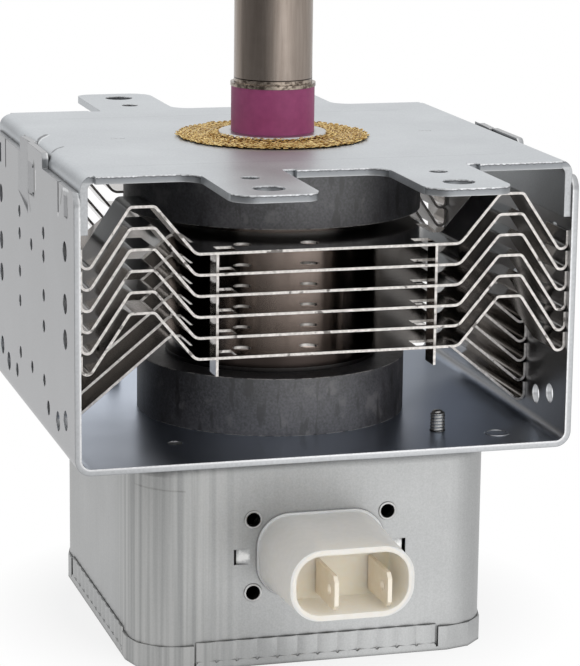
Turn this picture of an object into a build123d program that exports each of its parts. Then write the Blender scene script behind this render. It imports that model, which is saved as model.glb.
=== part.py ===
from build123d import *
from math import copysign
import os

# A microwave oven magnetron, standing on the lid of its filter box with the antenna up.
# The origin is on the antenna axis, in the plane that the lid stands on. +X is to the
# right of the connector and +Y to the back. All sizes are in millimetres.

# Sheet thicknesses
yoke_sheet = 1.2
plate_sheet = 1.4
fin_sheet = 0.5
box_sheet = 0.8
lid_sheet = 0.5
can_sheet = 0.8

# Filter box, a deep-drawn shell that is open at the bottom
box_height = 40.0
box_half_width = 34.3
box_half_depth = 35.4
box_back_shift = 0.8
box_corner = 8.7
box_shoulder = 3.0

# Box lid, with a fluted skirt outside the shell that is lower and pleated at the corners
lid_gap = 0.03
skirt_height = 5.2
skirt_seam = 23.6
corner_drop = 0.5
corner_pleats = 3
seam_width = 0.4
seam_reach = 0.8
seam_foot = 0.8
flute_pitch = 3.9
flute_depth = 0.33
flute_start = 1.5
pit_radius = 0.33

# Lower yoke, a sheet folded into a U
yoke_width = 94.2
yoke_depth = 81.0
yoke_bend = 2.4
wall_below_plate = 1.65
wall_corner = 2.5
ear_half_depth = 11.5
ear_below_plate_top = 0.25
ear_corner = 1.2

# Holes in the walls: their place from front to back, height over the yoke's underside, radius
small_hole_y = 12.1
small_hole_heights = (39.1, 34.75, 27.35, 21.5, 11.2)
small_hole_radius = 1.2
middle_hole_heights = (34.75, 11.0)
large_hole_y = 32.2
large_hole_heights = (39.3, 29.8, 23.3, 8.3)
large_hole_radius = 1.85
foot_hole_y = 25.1
foot_hole_height = 6.5
heel_hole_y = 16.0
heel_hole_height = 6.8
heel_hole_radius = 1.4

# Slits and clinches at the top of the walls, their heights measured down from the wall's top
slit_y = 26.5
slit_width = 0.8
slit_depth = 5.6
clinch_y = 34.5
clinch_top = 1.5
clinch_height = 3.9
clinch_length = 2.6
clinch_slot = 0.7
press_depth = 0.6
press_gap = 0.03

# Louvres pressed in below each ear: a tall one that is open at the top, then one with a slot
tall_louvre_front = 3.0
tall_louvre_back = 13.0
tall_louvre_height = 13.6
tall_louvre_slant = 3.0
slot_louvre_length = 4.4
louvre_slot_y = -2.4
louvre_slot_width = 1.5
louvre_slot_height = 6.2
louvre_slot_drop = 0.6

# Upper yoke, a plate folded down inside the walls
plate_half_depth = 41.25
flange_half_depth = 40.0
flange_reach = 10.55
plate_bend = 1.8
tab_inner = 9.5
tab_outer = 25.0
tab_reach = 66.0
tab_wide_corner = 4.5
tab_tight_corner = 3.0
tab_blend = 4.0
notch_width = 2.5
notch_depth = 1.6
bolt_x = 17.1
bolt_from_tip = 6.7
bolt_hole_radius = 2.85
pilot_x = 17.3
pilot_from_tip = 18.2
pilot_hole_radius = 1.7
key_slit_places = ((-29.8, 2.4), (31.0, 0.6))
key_slit_length = 2.6
key_slit_width = 0.6

# Ring magnets
lower_magnet_radius = 26.0
lower_magnet_height = 11.0
upper_magnet_radius = 28.6
upper_magnet_height = 11.75

# Anode: a copper cylinder with ten vanes, tied in turn by four strap rings
anode_radius = 20.5
anode_wall = 2.6
anode_height = 27.1
vane_count = 10
vane_thickness = 2.0
vane_height = 9.5
vane_tip_radius = 4.5
strap_radii = (7.7, 9.3)
strap_width = 0.8
strap_height = 1.2
strap_clearance = 0.5

# Pole pieces, dished discs let into the ends of the anode
pole_sheet = 1.6
pole_rebate = 0.7
pole_fit = 0.05
pole_hole_radius = 4.8
pole_cone_inner = 6.0
pole_cone_outer = 13.2
pole_cone_lean = 0.5
pole_over_vanes = 1.7

# Cathode: a coiled filament between two end hats, on two leads
filament_radius = 2.1
filament_wire = 0.3
filament_turns = 8
hat_sheet = 1.0
upper_hat_radius = 3.4
lower_hat_radius = 3.6
hat_over_vanes = 0.7
lower_hat_hole = 1.4
lead_radius = 0.75
lead_bend = 4.0
lead_crank = 7.0
side_lead_x = 2.6
pin_x = 3.5
pin_length = 6.0

# Sealing cans, the ceramic stem below and the ceramic ring above
upper_neck_radius = 10.5
lower_neck_radius = 10.0
neck_clearance = 0.5
lower_bore_gap = 1.0
collar_rise = 1.15
collar_round = 0.5
can_lip = 2.4
lower_neck_reach = 17.0
stem_radius = 9.0
stem_height = 9.0
stem_clearance = 0.05
ceramic_radius = 8.0
ceramic_wall = 2.0
ceramic_height = 8.7

# Antenna: the lead from a vane, the cup and pinched tube that close the top, and the cap
antenna_radius = 0.8
antenna_foot = 11.5
antenna_foot_rise = 2.9
antenna_bend = 4.0
antenna_straight = 3.0
antenna_hole_gap = 0.7
cup_lip_radius = 8.15
cup_lip_height = 0.7
cup_radius = 6.95
cup_sheet = 0.6
cup_height = 7.3
tube_radius = 3.1
tube_wall = 0.7
tube_height = 5.5
tube_fit = 0.05
tube_below_cup = 1.2
pinch_step = 0.1
pinch_height = 4.6
pinch_width = 8.4
pinch_thickness = 1.3
cap_radius = 7.5
cap_sheet = 0.5
cap_height = 20.4
cap_shoulder = 1.8

# Woven gasket round the neck, on the plate
gasket_radius = 18.4
gasket_thickness = 0.7
gasket_gap = 0.15
gasket_round = 0.3

# Cooling fins: one pressed sheet each, flat round the anode, with six folded fingers
fin_count = 6
fin_pitch = 3.83
fin_below_anode_top = 0.9
fin_half_depth = 39.3
fin_fit = 0.03
root_from_anode = 4.3
outer_finger_start = 29.0
middle_finger_end = 19.5
ridge_from_wall = 9.1
ridge_width = 4.5
ridge_rise = 8.9
outer_foot_drop = 4.3
outer_lip_rise = 1.6
middle_foot_drop = 17.1
middle_lip_drop = 12.5
root_bend = 2.0
ridge_bend = 1.0
foot_bend = 1.1
tongue_x = 20.6
tongue_edge = 0.9
tongue_length = 4.4
window_width = 3.4
fin_hole_radius = 1.7
fin_hole_places = ((-14.6, -33.0), (-2.2, -33.7), (14.6, 33.0), (2.2, 33.7))

# Connector on the front of the box
connector_x = 0.4
connector_z = 21.1
connector_reach = 20.5
connector_base_width = 23.8
connector_base_height = 15.0
connector_rim_width = 23.2
connector_rim_height = 13.2
connector_round = 5.8
connector_wall = 1.05
connector_foot = 0.4
connector_foot_depth = 0.5
cavity_depth = 12.0
boss_inset = 1.2
boss_gap = 0.05
boss_reach = 10.0
terminal_left_x = -3.0
terminal_right_x = 7.0
terminal_drop = 1.8
terminal_width = 6.35
terminal_thickness = 0.8
terminal_tip = 1.0
terminal_hole_radius = 1.0
terminal_hole_inset = 3.3
terminal_tag_width = 3.0
terminal_tag_reach = 6.0
terminal_fit = 0.03

# Capacitor flange behind the front of the box, with four eyelets through it
flange_half_width = 15.4
flange_half_height = 9.6
flange_sheet = 1.0
flange_corner = 3.0
eyelet_x = 12.95
eyelet_z = 7.0
eyelet_radius = 1.65
eyelet_bore = 1.35
eyelet_gap = 0.05
eyelet_proud = 0.15
lance_x = 16.1
lance_length = 2.5
lance_height = 2.9
lance_slot = 0.5
lance_depth = 0.5
lance_gap = 0.3

# Choke coils on ferrite rods, from the connector to the stem
coil_radius = 3.4
coil_wire = 0.6
coil_turns = 5
coil_pitch = 1.8
rod_gap = 0.2
rod_length = 14.0

# Screws up through the box and the yoke, and the two spare holes beside them
screw_from_side = 9.1
screw_from_front = 7.6
screw_radius = 1.45
screw_gap = 0.05
screw_head_radius = 2.8
screw_head_height = 1.8
screw_length = 6.0
screw_tip = 0.9
spare_from_side = 9.0
spare_from_front = 9.7
spare_radius = 1.4

# Round witness marks on the yoke's floor, left by the press
mark_x = 35.5
mark_y = 32.4
mark_radius = 2.4
mark_width = 0.45
mark_rise = 0.12

# Sizes that follow from the others
floor_top = box_height + yoke_sheet
lower_magnet_top = floor_top + lower_magnet_height
anode_bottom = lower_magnet_top + can_sheet
anode_top = anode_bottom + anode_height
anode_middle = (anode_bottom + anode_top) / 2
upper_magnet_bottom = anode_top + can_sheet
plate_bottom = upper_magnet_bottom + upper_magnet_height
plate_top = plate_bottom + plate_sheet
wall_top = plate_bottom - wall_below_plate
ear_top = plate_top - ear_below_plate_top
collar_top = plate_top + collar_rise
ceramic_top = collar_top + ceramic_height
cup_lip_top = ceramic_top + cup_lip_height
vane_top = anode_middle + vane_height / 2
vane_bottom = anode_middle - vane_height / 2
upper_hat_bottom = vane_top + hat_over_vanes
lower_hat_top = vane_bottom - hat_over_vanes
wall_inside = yoke_width / 2 - yoke_sheet
box_front = box_back_shift - box_half_depth
stem_top = lower_magnet_top - lower_neck_reach
stem_bottom = stem_top - stem_height
terminal_z = connector_z - terminal_drop
bolt_y = tab_reach - bolt_from_tip
pilot_y = tab_reach - pilot_from_tip
finger_root = anode_radius + root_from_anode
ridge_outer = wall_inside - ridge_from_wall
ridge_inner = ridge_outer - ridge_width
screw_x = box_half_width - screw_from_side
screw_y = box_half_depth - screw_from_front
spare_x = box_half_width - spare_from_side
spare_y = box_half_depth - spare_from_front


def upright(radius, bottom, top, x=0, y=0):
    """A cylinder along Z between two heights."""
    return Pos(x, y, bottom) * Cylinder(radius, top - bottom, align=(Align.CENTER, Align.CENTER, Align.MIN))


def ring(outer, inner, bottom, top):
    """A flat ring about the antenna axis."""
    return upright(outer, bottom, top) - upright(inner, bottom, top)


def turned(*points):
    """A solid of revolution about the antenna axis, from its half section as (radius, height) points."""
    section = Plane.XZ * make_face(Polyline(*points, close=True))
    return revolve(section, Axis.Z)


def block(x, y, z):
    """A box from its lowest and highest X, Y and Z."""
    size = (x[1] - x[0], y[1] - y[0], z[1] - z[0])
    return Pos(x[0], y[0], z[0]) * Box(*size, align=(Align.MIN, Align.MIN, Align.MIN))


def mirrored(points):
    """A left-to-right symmetrical line in the X-Z plane, from its right half."""
    return [Vector(-x, z) for x, z in reversed(points)] + [Vector(x, z) for x, z in points]


def folded(points, bends, sheet, half_depth, middle=0):
    """A folded strip of sheet that runs along Y, from its centreline in X and Z and its bends' radii."""
    runs = [(b - a).normalized() for a, b in zip(points, points[1:])]
    edges = []
    for side in (sheet / 2, -sheet / 2):
        shifted = []
        radii = []
        for i, point in enumerate(points):
            before = runs[max(i - 1, 0)]
            after = runs[min(i, len(runs) - 1)]
            mitre = Vector(-before.Y - after.Y, before.X + after.X) * (side / (1 + before.dot(after)))
            shifted.append(point + mitre)
            if before is not after:
                radii.append(bends[i - 1] - copysign(side, side * before.cross(after).Z))
        edges.append((shifted, radii))
    (left, left_radii), (right, right_radii) = edges
    outline = FilletPolyline(*left, radius=left_radii) + Line(left[-1], right[-1])
    outline += FilletPolyline(*right, radius=right_radii) + Line(left[0], right[0])
    return Pos(0, middle, 0) * extrude(Plane.XZ * make_face(outline), amount=half_depth, both=True)


def through_walls(shapes):
    """Outlines in Y and Z as prisms that pass through both walls of the yoke."""
    return extrude(Plane.YZ * shapes, amount=yoke_width, both=True)


def save(name, shape):
    """Writes a node from its solids."""
    export_step(Compound(list(shape.solids())), f"parts/{name}.step")


def circles(radius, places):
    """Round holes as one sketch."""
    return Sketch() + [Pos(*place) * Circle(radius) for place in places]


def make_lower_yoke():
    """The U of the yoke with its pierced walls, its ears and the press marks that hold the plate."""
    middle_x = yoke_width / 2 - yoke_sheet / 2
    middle_z = box_height + yoke_sheet / 2
    line = mirrored([(middle_x, middle_z), (middle_x, ear_top)])
    yoke = folded(line, [yoke_bend, yoke_bend], yoke_sheet, yoke_depth / 2)

    height = wall_top - box_height
    outline = Pos(0, box_height) * RectangleRounded(yoke_depth, 2 * height, wall_corner)
    outline += Pos(0, wall_top) * RectangleRounded(2 * ear_half_depth, 2 * (ear_top - wall_top), ear_corner)
    for side in (-1, 1):
        slit = Rectangle(slit_width, slit_depth, align=(Align.CENTER, Align.MAX))
        outline -= Pos(side * slit_y, wall_top) * slit
        slot = Rectangle(clinch_slot, clinch_height, align=(Align.CENTER, Align.MAX))
        outline -= Pos(side * clinch_y, wall_top - clinch_top) * slot
        small_holes = [(side * small_hole_y, box_height + z) for z in small_hole_heights]
        large_holes = [(side * large_hole_y, box_height + z) for z in large_hole_heights]
        outline -= circles(small_hole_radius, small_holes) + circles(large_hole_radius, large_holes)
        outline -= Pos(side * foot_hole_y, box_height + foot_hole_height) * Circle(large_hole_radius)
        outline -= Pos(side * heel_hole_y, box_height + heel_hole_height) * Circle(heel_hole_radius)
    outline -= circles(small_hole_radius, [(0, box_height + z) for z in middle_hole_heights])
    slot = SlotOverall(louvre_slot_height, louvre_slot_width, rotation=90)
    outline -= Pos(louvre_slot_y, wall_top - louvre_slot_drop - louvre_slot_height / 2) * slot
    yoke &= through_walls(outline)

    for side in (-1, 1):
        outside = side * yoke_width / 2
        yoke -= press_marks(side, outside, 0)
        yoke += press_marks(side, side * wall_inside, 0)
    yoke -= upright(lower_neck_radius + neck_clearance, box_height, floor_top)
    for x, y in screw_places():
        yoke -= upright(screw_radius + screw_gap, box_height, floor_top, x, y)
    for x, y in ((-spare_x, -spare_y), (spare_x, spare_y)):
        yoke -= upright(spare_radius, box_height, floor_top, x, y)
    for x, y in ((mark_x, -mark_y), (-mark_x, mark_y)):
        mark = ring(mark_radius, mark_radius - mark_width, floor_top, floor_top + mark_rise)
        yoke += Pos(x, y, 0) * mark
    return yoke


def louvre(side, face, deep, shallow, low, high, depth):
    """A wedge pressed inwards from a face of a wall, from no depth at one Y to its full depth at another."""
    corners = ((face, deep), (face - side * depth, deep), (face, shallow))
    return Pos(0, 0, low) * extrude(make_face(Polyline(*corners, close=True)), amount=high - low)


def tall_louvre(side, face, margin):
    """The tall louvre below an ear, with a slanting foot."""
    front = tall_louvre_front - margin
    back = tall_louvre_back + margin
    low = ear_top - tall_louvre_height - margin
    turn = low + tall_louvre_slant
    foot = make_face(Polyline((front, ear_top), (front, low), (back, turn), (back, ear_top), close=True))
    wedge = louvre(side, face, front, back, low, ear_top, press_depth + margin)
    return wedge & through_walls(foot)


def press_marks(side, face, margin):
    """What the press moved inwards at a face of one wall: two louvres below the ear and two clinches."""
    depth = press_depth + margin
    slot_top = wall_top - louvre_slot_drop
    slot_edge = louvre_slot_y + louvre_slot_width / 2
    marks = [tall_louvre(side, face, margin)]
    slot_foot = slot_top - louvre_slot_height
    marks.append(louvre(side, face, slot_edge, slot_edge + slot_louvre_length, slot_foot, slot_top, depth))
    high = wall_top - clinch_top
    for end in (-1, 1):
        deep = end * (clinch_y - clinch_slot / 2 + margin)
        shallow = end * (clinch_y - clinch_slot / 2 - clinch_length)
        marks.append(louvre(side, face, deep, shallow, high - clinch_height, high, depth))
    return marks


def make_upper_yoke():
    """The top plate with its four tabs, folded down inside the walls of the lower yoke."""
    middle_x = wall_inside - plate_sheet / 2
    middle_z = plate_top - plate_sheet / 2
    line = mirrored([(middle_x, middle_z), (middle_x, plate_top - flange_reach)])
    yoke = folded(line, [plate_bend, plate_bend], plate_sheet, flange_half_depth)

    flat_half = middle_x - plate_bend
    plate = Rectangle(2 * flat_half, 2 * plate_half_depth)
    for turn in (0, 180):
        for x in (tab_inner, -tab_outer):
            plate += Rot(0, 0, turn) * tab(x)
    for turn in (0, 180):
        for x in (tab_inner, -tab_outer):
            corner = Rot(0, 0, turn) * Vertex(x, -plate_half_depth, 0)
            plate = fillet(plate.vertices().sort_by_distance(corner)[0], tab_blend)
            notch = Pos(x + tab_outer - tab_inner, -plate_half_depth)
            shape = Rectangle(notch_width, notch_depth - notch_width / 2, align=(Align.MIN, Align.MIN))
            shape += Pos(notch_width / 2, notch_depth - notch_width / 2) * Circle(notch_width / 2)
            plate -= Rot(0, 0, turn) * notch * shape
    four_ways = [(x, y) for x in (-1, 1) for y in (-1, 1)]
    plate -= circles(bolt_hole_radius, [(x * bolt_x, y * bolt_y) for x, y in four_ways])
    plate -= circles(pilot_hole_radius, [(x * pilot_x, y * pilot_y) for x, y in four_ways])
    yoke += Pos(0, 0, plate_bottom) * extrude(plate, amount=plate_sheet)
    for x, y in key_slit_places:
        slit = Rectangle(key_slit_length, key_slit_width)
        yoke -= Pos(x, y, plate_bottom) * extrude(slit, amount=plate_sheet)
    for side in (-1, 1):
        yoke -= press_marks(side, side * wall_inside, press_gap)
    yoke -= upright(upper_neck_radius + neck_clearance, plate_bottom, plate_top)
    return yoke


def tab(x):
    """A mounting tab on the front edge of the plate, from its left edge at x."""
    width = tab_outer - tab_inner
    length = tab_reach - plate_half_depth + tab_blend / 4
    shape = Pos(x, -tab_reach) * Rectangle(width, length, align=(Align.MIN, Align.MIN))
    tips = shape.vertices().group_by(Axis.Y)[0].sort_by(Axis.X)
    shape = fillet(tips[0], tab_wide_corner)
    tips = shape.vertices().group_by(Axis.Y)[0].sort_by(Axis.X)
    return fillet(tips[-1], tab_tight_corner)


def make_vane(index):
    """One anode vane, with notches that seat on two of the four straps and clear the other two."""
    bore = anode_radius - anode_wall
    half = vane_thickness / 2
    vane = block((0, bore), (-half, half), (vane_bottom, vane_top))
    vane &= ring(bore, vane_tip_radius, vane_bottom, vane_top)
    first = strap_radii[0] - strap_clearance
    last = strap_radii[1] + strap_width + strap_clearance
    between = (strap_radii[0] + strap_width + strap_radii[1]) / 2
    for end, reach in enumerate((vane_top, vane_bottom)):
        down = 1 if end == 0 else -1
        seats_inner = (index + end) % 2 == 0
        shallow = reach - down * strap_height
        deep = shallow - down * strap_clearance
        inner, outer = (shallow, deep) if seats_inner else (deep, shallow)
        vane -= block((first, between), (-half, half), sorted((reach, inner)))
        vane -= block((between, last), (-half, half), sorted((reach, outer)))
    return Rot(0, 0, index * 360 / vane_count) * vane


def make_strap(radius, top):
    """A strap ring between the vanes, from its inner radius and the height of its top."""
    return ring(radius + strap_width, radius, top - strap_height, top)


def make_pole_piece():
    """The upper pole piece: a flat rim, a cone towards the cathode and a round hole."""
    rim = anode_radius - anode_wall + pole_rebate - pole_fit
    low = vane_top + pole_over_vanes
    rise = anode_top - pole_sheet - low
    return turned(
        (pole_hole_radius, low),
        (pole_cone_inner, low),
        (pole_cone_outer, low + rise),
        (rim, low + rise),
        (rim, anode_top),
        (pole_cone_outer - pole_cone_lean, anode_top),
        (pole_cone_inner - pole_cone_lean, low + pole_sheet),
        (pole_hole_radius, low + pole_sheet),
    )


def make_anode_cylinder():
    """The copper cylinder, with a rebate for the pole piece at each end."""
    bore = anode_radius - anode_wall
    anode = ring(anode_radius, bore, anode_bottom, anode_top)
    anode -= upright(bore + pole_rebate, anode_top - pole_sheet, anode_top)
    return anode - upright(bore + pole_rebate, anode_bottom, anode_bottom + pole_sheet)


def rod(radius, bend, *points):
    """A round rod or wire along straight runs joined by arcs."""
    path = FilletPolyline(*points, radius=bend)
    start = Plane(path @ 0, z_dir=path % 0)
    return sweep(start * Circle(radius), path=path)


def coil(radius, wire, pitch, turns):
    """A round wire wound about the Z axis from the XY plane up, starting on the X axis."""
    path = Helix(pitch, pitch * turns, radius)
    start = Plane(path @ 0, z_dir=path % 0)
    return sweep(start * Circle(wire), path=path, is_frenet=True)


def make_filament():
    """The filament's turns, which bear on the two end hats."""
    room = upper_hat_bottom - lower_hat_top - 2 * filament_wire
    return Pos(0, 0, lower_hat_top + filament_wire) * coil(
        filament_radius, filament_wire, room / filament_turns, filament_turns
    )


def make_centre_lead():
    """The lead that holds the upper hat, cranked across to its pin below the cathode."""
    crank = anode_bottom
    return rod(
        lead_radius,
        lead_bend,
        (0, 0, upper_hat_bottom),
        (0, 0, crank),
        (-pin_x, 0, crank - lead_crank),
        (-pin_x, 0, stem_bottom - pin_length),
    )


def make_side_lead():
    """The lead that holds the lower hat."""
    crank = anode_bottom
    return rod(
        lead_radius,
        lead_bend,
        (side_lead_x, 0, lower_hat_top - hat_sheet),
        (side_lead_x, 0, crank),
        (pin_x, 0, crank - lead_crank),
        (pin_x, 0, stem_bottom - pin_length),
    )


def make_upper_can():
    """The drawn can between the anode and the ceramic: a flange under the magnet and a neck up through it."""
    inside = upper_neck_radius - can_sheet
    can = turned(
        (inside, anode_top),
        (anode_radius, anode_top),
        (anode_radius, upper_magnet_bottom),
        (upper_neck_radius, upper_magnet_bottom),
        (upper_neck_radius, collar_top),
        (ceramic_radius - can_lip, collar_top),
        (ceramic_radius - can_lip, collar_top - can_sheet),
        (inside, collar_top - can_sheet),
    )
    rim = can.edges().filter_by(GeomType.CIRCLE).group_by(Axis.Z)[-1].sort_by(SortBy.RADIUS)[-1]
    return fillet(rim, collar_round)


def make_lower_can():
    """The lower can: a flange on the lower magnet and a neck down through the yoke into the box."""
    inside = lower_neck_radius - can_sheet
    return turned(
        (inside, anode_bottom),
        (anode_radius, anode_bottom),
        (anode_radius, lower_magnet_top),
        (lower_neck_radius, lower_magnet_top),
        (lower_neck_radius, stem_top),
        (stem_radius - can_lip, stem_top),
        (stem_radius - can_lip, stem_top + can_sheet),
        (inside, stem_top + can_sheet),
    )


def make_stem_ceramic():
    """The ceramic disc that closes the lower can and carries the two pins."""
    stem = upright(stem_radius, stem_bottom, stem_top)
    for x in (-pin_x, pin_x):
        stem -= upright(lead_radius + stem_clearance, stem_bottom, stem_top, x)
    return stem


def antenna_points():
    """The run of the antenna lead: up from a vane, across through the pole piece and up the axis."""
    knee = vane_top + antenna_foot_rise
    top = tube_floor() + tube_height
    turn = collar_top - antenna_straight
    return (antenna_foot, 0, vane_top), (antenna_foot, 0, knee), (0, 0, turn), (0, 0, top)


def tube_floor():
    """The height of the exhaust tube's lower end, just inside the cup."""
    return cup_lip_top + cup_height - tube_below_cup


def make_exhaust_cup():
    """The cup on the ceramic: a lip, a wall inside the cap and a floor that holds the tube."""
    inside = cup_radius - cup_sheet
    top = cup_lip_top + cup_height
    hole = tube_radius + tube_fit
    return turned(
        (inside, ceramic_top),
        (cup_lip_radius, ceramic_top),
        (cup_lip_radius, cup_lip_top),
        (cup_radius, cup_lip_top),
        (cup_radius, top),
        (hole, top),
        (hole, top - cup_sheet),
        (inside, top - cup_sheet),
    )


def make_exhaust_tube():
    """The copper tube, pinched flat where it was cut off from the pump."""
    low = tube_floor()
    shut = low + tube_height
    tube = ring(tube_radius, tube_radius - tube_wall, low, shut)
    round_end = Plane.XY.offset(shut) * Ellipse(tube_radius - pinch_step, tube_radius - 2 * pinch_step)
    flat_end = Plane.XY.offset(shut + pinch_height) * Ellipse(pinch_width / 2, pinch_thickness / 2)
    return tube + loft([round_end, flat_end])


def make_antenna_cap():
    """The drawn cap over the cup, with a rounded shoulder; it stands on the cup's lip."""
    top = cup_lip_top + cap_height
    outside = upright(cap_radius, cup_lip_top, top)
    outside = fillet(outside.edges().group_by(Axis.Z)[-1], cap_shoulder)
    inside = upright(cap_radius - cap_sheet, cup_lip_top, top - cap_sheet)
    inside = fillet(inside.edges().group_by(Axis.Z)[-1], cap_shoulder - cap_sheet)
    return outside - inside


def make_gasket():
    """The woven ring on the plate, round the collar."""
    gasket = ring(gasket_radius, upper_neck_radius + gasket_gap, plate_top, plate_top + gasket_thickness)
    rims = gasket.edges().filter_by(GeomType.CIRCLE).group_by(Axis.Z)[-1]
    return fillet(rims, gasket_round)


def make_fin(flat):
    """One cooling fin: a flat at a height, outer fingers folded over a ridge and middle ones folded down."""
    lip_x = wall_inside - fin_sheet / 2
    root = (finger_root, flat)
    ridge = [(ridge_inner, flat + ridge_rise), (ridge_outer, flat + ridge_rise)]
    outer = mirrored([root, *ridge, (lip_x, flat - outer_foot_drop), (lip_x, flat + outer_lip_rise)])
    middle = mirrored([root, (lip_x, flat - middle_foot_drop), (lip_x, flat - middle_lip_drop)])
    half_bends = [root_bend, ridge_bend, ridge_bend, foot_bend]
    outer_bends = half_bends[::-1] + half_bends
    middle_bends = [foot_bend, root_bend, root_bend, foot_bend]
    fin = folded(middle, middle_bends, fin_sheet, middle_finger_end)
    outer_width = fin_half_depth - outer_finger_start
    for side in (-1, 1):
        place = side * (outer_finger_start + outer_width / 2)
        fin += folded(outer, outer_bends, fin_sheet, outer_width / 2, place)
        slot_edge = finger_root - root_bend
        gap = sorted((side * middle_finger_end, side * outer_finger_start))
        fin += block((-slot_edge, slot_edge), gap, (flat - fin_sheet / 2, flat + fin_sheet / 2))
    fin -= upright(anode_radius + fin_fit, flat - fin_sheet, flat + fin_sheet)
    for place in fin_hole_places:
        fin -= upright(fin_hole_radius, flat - fin_sheet, flat + fin_sheet, *place)
    for x in (-1, 1):
        for y in (-1, 1):
            fin = with_tongue(fin, flat, x, y)
    return fin


def with_tongue(fin, flat, x, y):
    """A fin with one tongue, lanced from the flat and folded down on to the next fin."""
    inner = tongue_x - fin_sheet / 2
    window = sorted((x * inner, x * (inner - window_width)))
    blade = sorted((x * inner, x * (inner + fin_sheet)))
    start = fin_half_depth - tongue_edge
    along = sorted((y * start, y * (start - tongue_length)))
    fin -= block(window, along, (flat - fin_sheet, flat + fin_sheet))
    return fin + block(blade, along, (flat - fin_pitch + fin_sheet / 2, flat - fin_sheet / 2))


def rounded_shell(grow, bottom, top, shoulder):
    """The box's outline, grown outwards, as a block with rounded corners and shoulders."""
    shape = RectangleRounded(2 * (box_half_width + grow), 2 * (box_half_depth + grow), box_corner + grow)
    body = Pos(0, box_back_shift, bottom) * extrude(shape, amount=top - bottom)
    if shoulder > 0:
        body = fillet(body.edges().group_by(Axis.Z)[-1], shoulder)
    return body


def on_front(shape, back, thickness):
    """An outline about the connector's centre, stood up in X and Z and thickened forward from y = back."""
    return Pos(connector_x, back, connector_z) * extrude(Plane.XZ * shape, amount=thickness)


def eyelets(radius):
    """The four round outlines about the connector."""
    return circles(radius, [(x * eyelet_x, z * eyelet_z) for x in (-1, 1) for z in (-1, 1)])


def lance(side, face, depth, margin):
    """A wedge pressed back from a face of the box's front, deepest at its outer end."""
    high = lance_height / 2 + margin
    near = side * (lance_x - lance_length - margin)
    far = side * (lance_x + margin)
    corners = ((near, face), (far, face), (far, face + depth))
    wedge = extrude(make_face(Polyline(*corners, close=True)), amount=2 * high)
    return Pos(connector_x, 0, connector_z - high) * wedge


def make_filter_box():
    """The drawn shell of the filter box, with its openings for the stem, the connector and the screws."""
    box = rounded_shell(0, lid_sheet, box_height, box_shoulder)
    box -= rounded_shell(-box_sheet, lid_sheet, box_height - box_sheet, box_shoulder - box_sheet)
    inside = box_front + box_sheet
    for side in (-1, 1):
        box -= lance(side, box_front, lance_depth, 0)
        box += lance(side, inside, lance_depth, 0)
        slot = Pos(side * (lance_x + lance_slot / 2), 0) * Rectangle(lance_slot, lance_height)
        box -= on_front(slot, inside + lance_depth, box_sheet + 2 * lance_depth)
    box -= on_front(boss_outline(boss_gap) + eyelets(eyelet_radius + eyelet_gap), inside, 2 * box_sheet)
    low = box_height - 2 * box_sheet
    box -= upright(lower_neck_radius + neck_clearance, low, box_height)
    for x, y in screw_places():
        box -= upright(screw_radius + screw_gap, low, box_height, x, y)
    return box


def screw_places():
    """The two screws, on one diagonal."""
    return (screw_x, -screw_y), (-screw_x, screw_y)


def flutes(reach):
    """The cuts in the front of the skirt: cusps between pillows, a pit at each cusp's foot, and seams."""
    count = int(2 * skirt_seam / flute_pitch)
    run = count * flute_pitch / 2
    bulge = (flute_pitch**2 / 4 + flute_depth**2) / (2 * flute_depth)
    cusps = Pos(0, -reach) * Rectangle(2 * run, flute_depth, align=(Align.CENTER, Align.MIN))
    for i in range(count):
        cusps -= Pos(-run + (i + 0.5) * flute_pitch, bulge - reach) * Circle(bulge)
    cuts = [Pos(0, 0, flute_start) * extrude(cusps, amount=skirt_height - flute_start)]
    for i in range(count + 1):
        cuts.append(Pos(-run + i * flute_pitch, -reach, flute_start) * Sphere(pit_radius))
    seam = Rectangle(seam_width, seam_reach, align=(Align.CENTER, Align.MIN))
    for x in (-skirt_seam, skirt_seam):
        cuts.append(Pos(x, -reach, seam_foot) * extrude(seam, amount=skirt_height - seam_foot))
    return cuts


def pleated_block(grow, top):
    """The box's outline, grown outwards, with flat pleats round its corners, as a block from the ground."""
    radius = Vector(box_corner + grow, 0)
    points = []
    for quarter, (x, y) in enumerate(((1, 1), (-1, 1), (-1, -1), (1, -1))):
        middle = Vector(x * (box_half_width - box_corner), y * (box_half_depth - box_corner))
        for i in range(corner_pleats + 1):
            points.append(middle + radius.rotate(Axis.Z, 90 * (quarter + i / corner_pleats)))
    return Pos(0, box_back_shift, 0) * extrude(make_face(Polyline(*points, close=True)), amount=top)


def make_filter_lid():
    """The pressed lid: a flat plate and a skirt in four fluted runs between lower, pleated corners."""
    grow = lid_gap + lid_sheet
    reach_x = box_half_width + grow
    reach_y = box_half_depth + grow
    lid = rounded_shell(grow, 0, skirt_height, 0)
    lid -= rounded_shell(lid_gap, lid_sheet, skirt_height, 0)
    lid -= rounded_shell(grow + lid_sheet, 0, skirt_height, 0) - pleated_block(grow, skirt_height)
    for x, y in ((1, 1), (-1, 1), (-1, -1), (1, -1)):
        across = sorted((x * skirt_seam, x * (reach_x + lid_sheet)))
        along = sorted((y * skirt_seam, y * (reach_y + lid_sheet)))
        lid -= Pos(0, box_back_shift, 0) * block(across, along, (skirt_height - corner_drop, skirt_height))
    for turn, reach in ((0, reach_y), (90, reach_x), (180, reach_y), (270, reach_x)):
        place = Pos(0, box_back_shift, 0) * Rot(0, 0, turn)
        lid -= [place * cut for cut in flutes(reach)]
    return lid


def boss_outline(grow):
    """The outline of the connector body where it passes through the box."""
    width = connector_base_width - 2 * boss_inset + 2 * grow
    height = connector_base_height - 2 * boss_inset + 2 * grow
    return RectangleRounded(width, height, connector_round - boss_inset + grow)


def terminals():
    """The two terminals' X places, measured from the connector's centre."""
    return terminal_left_x, terminal_right_x


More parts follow.
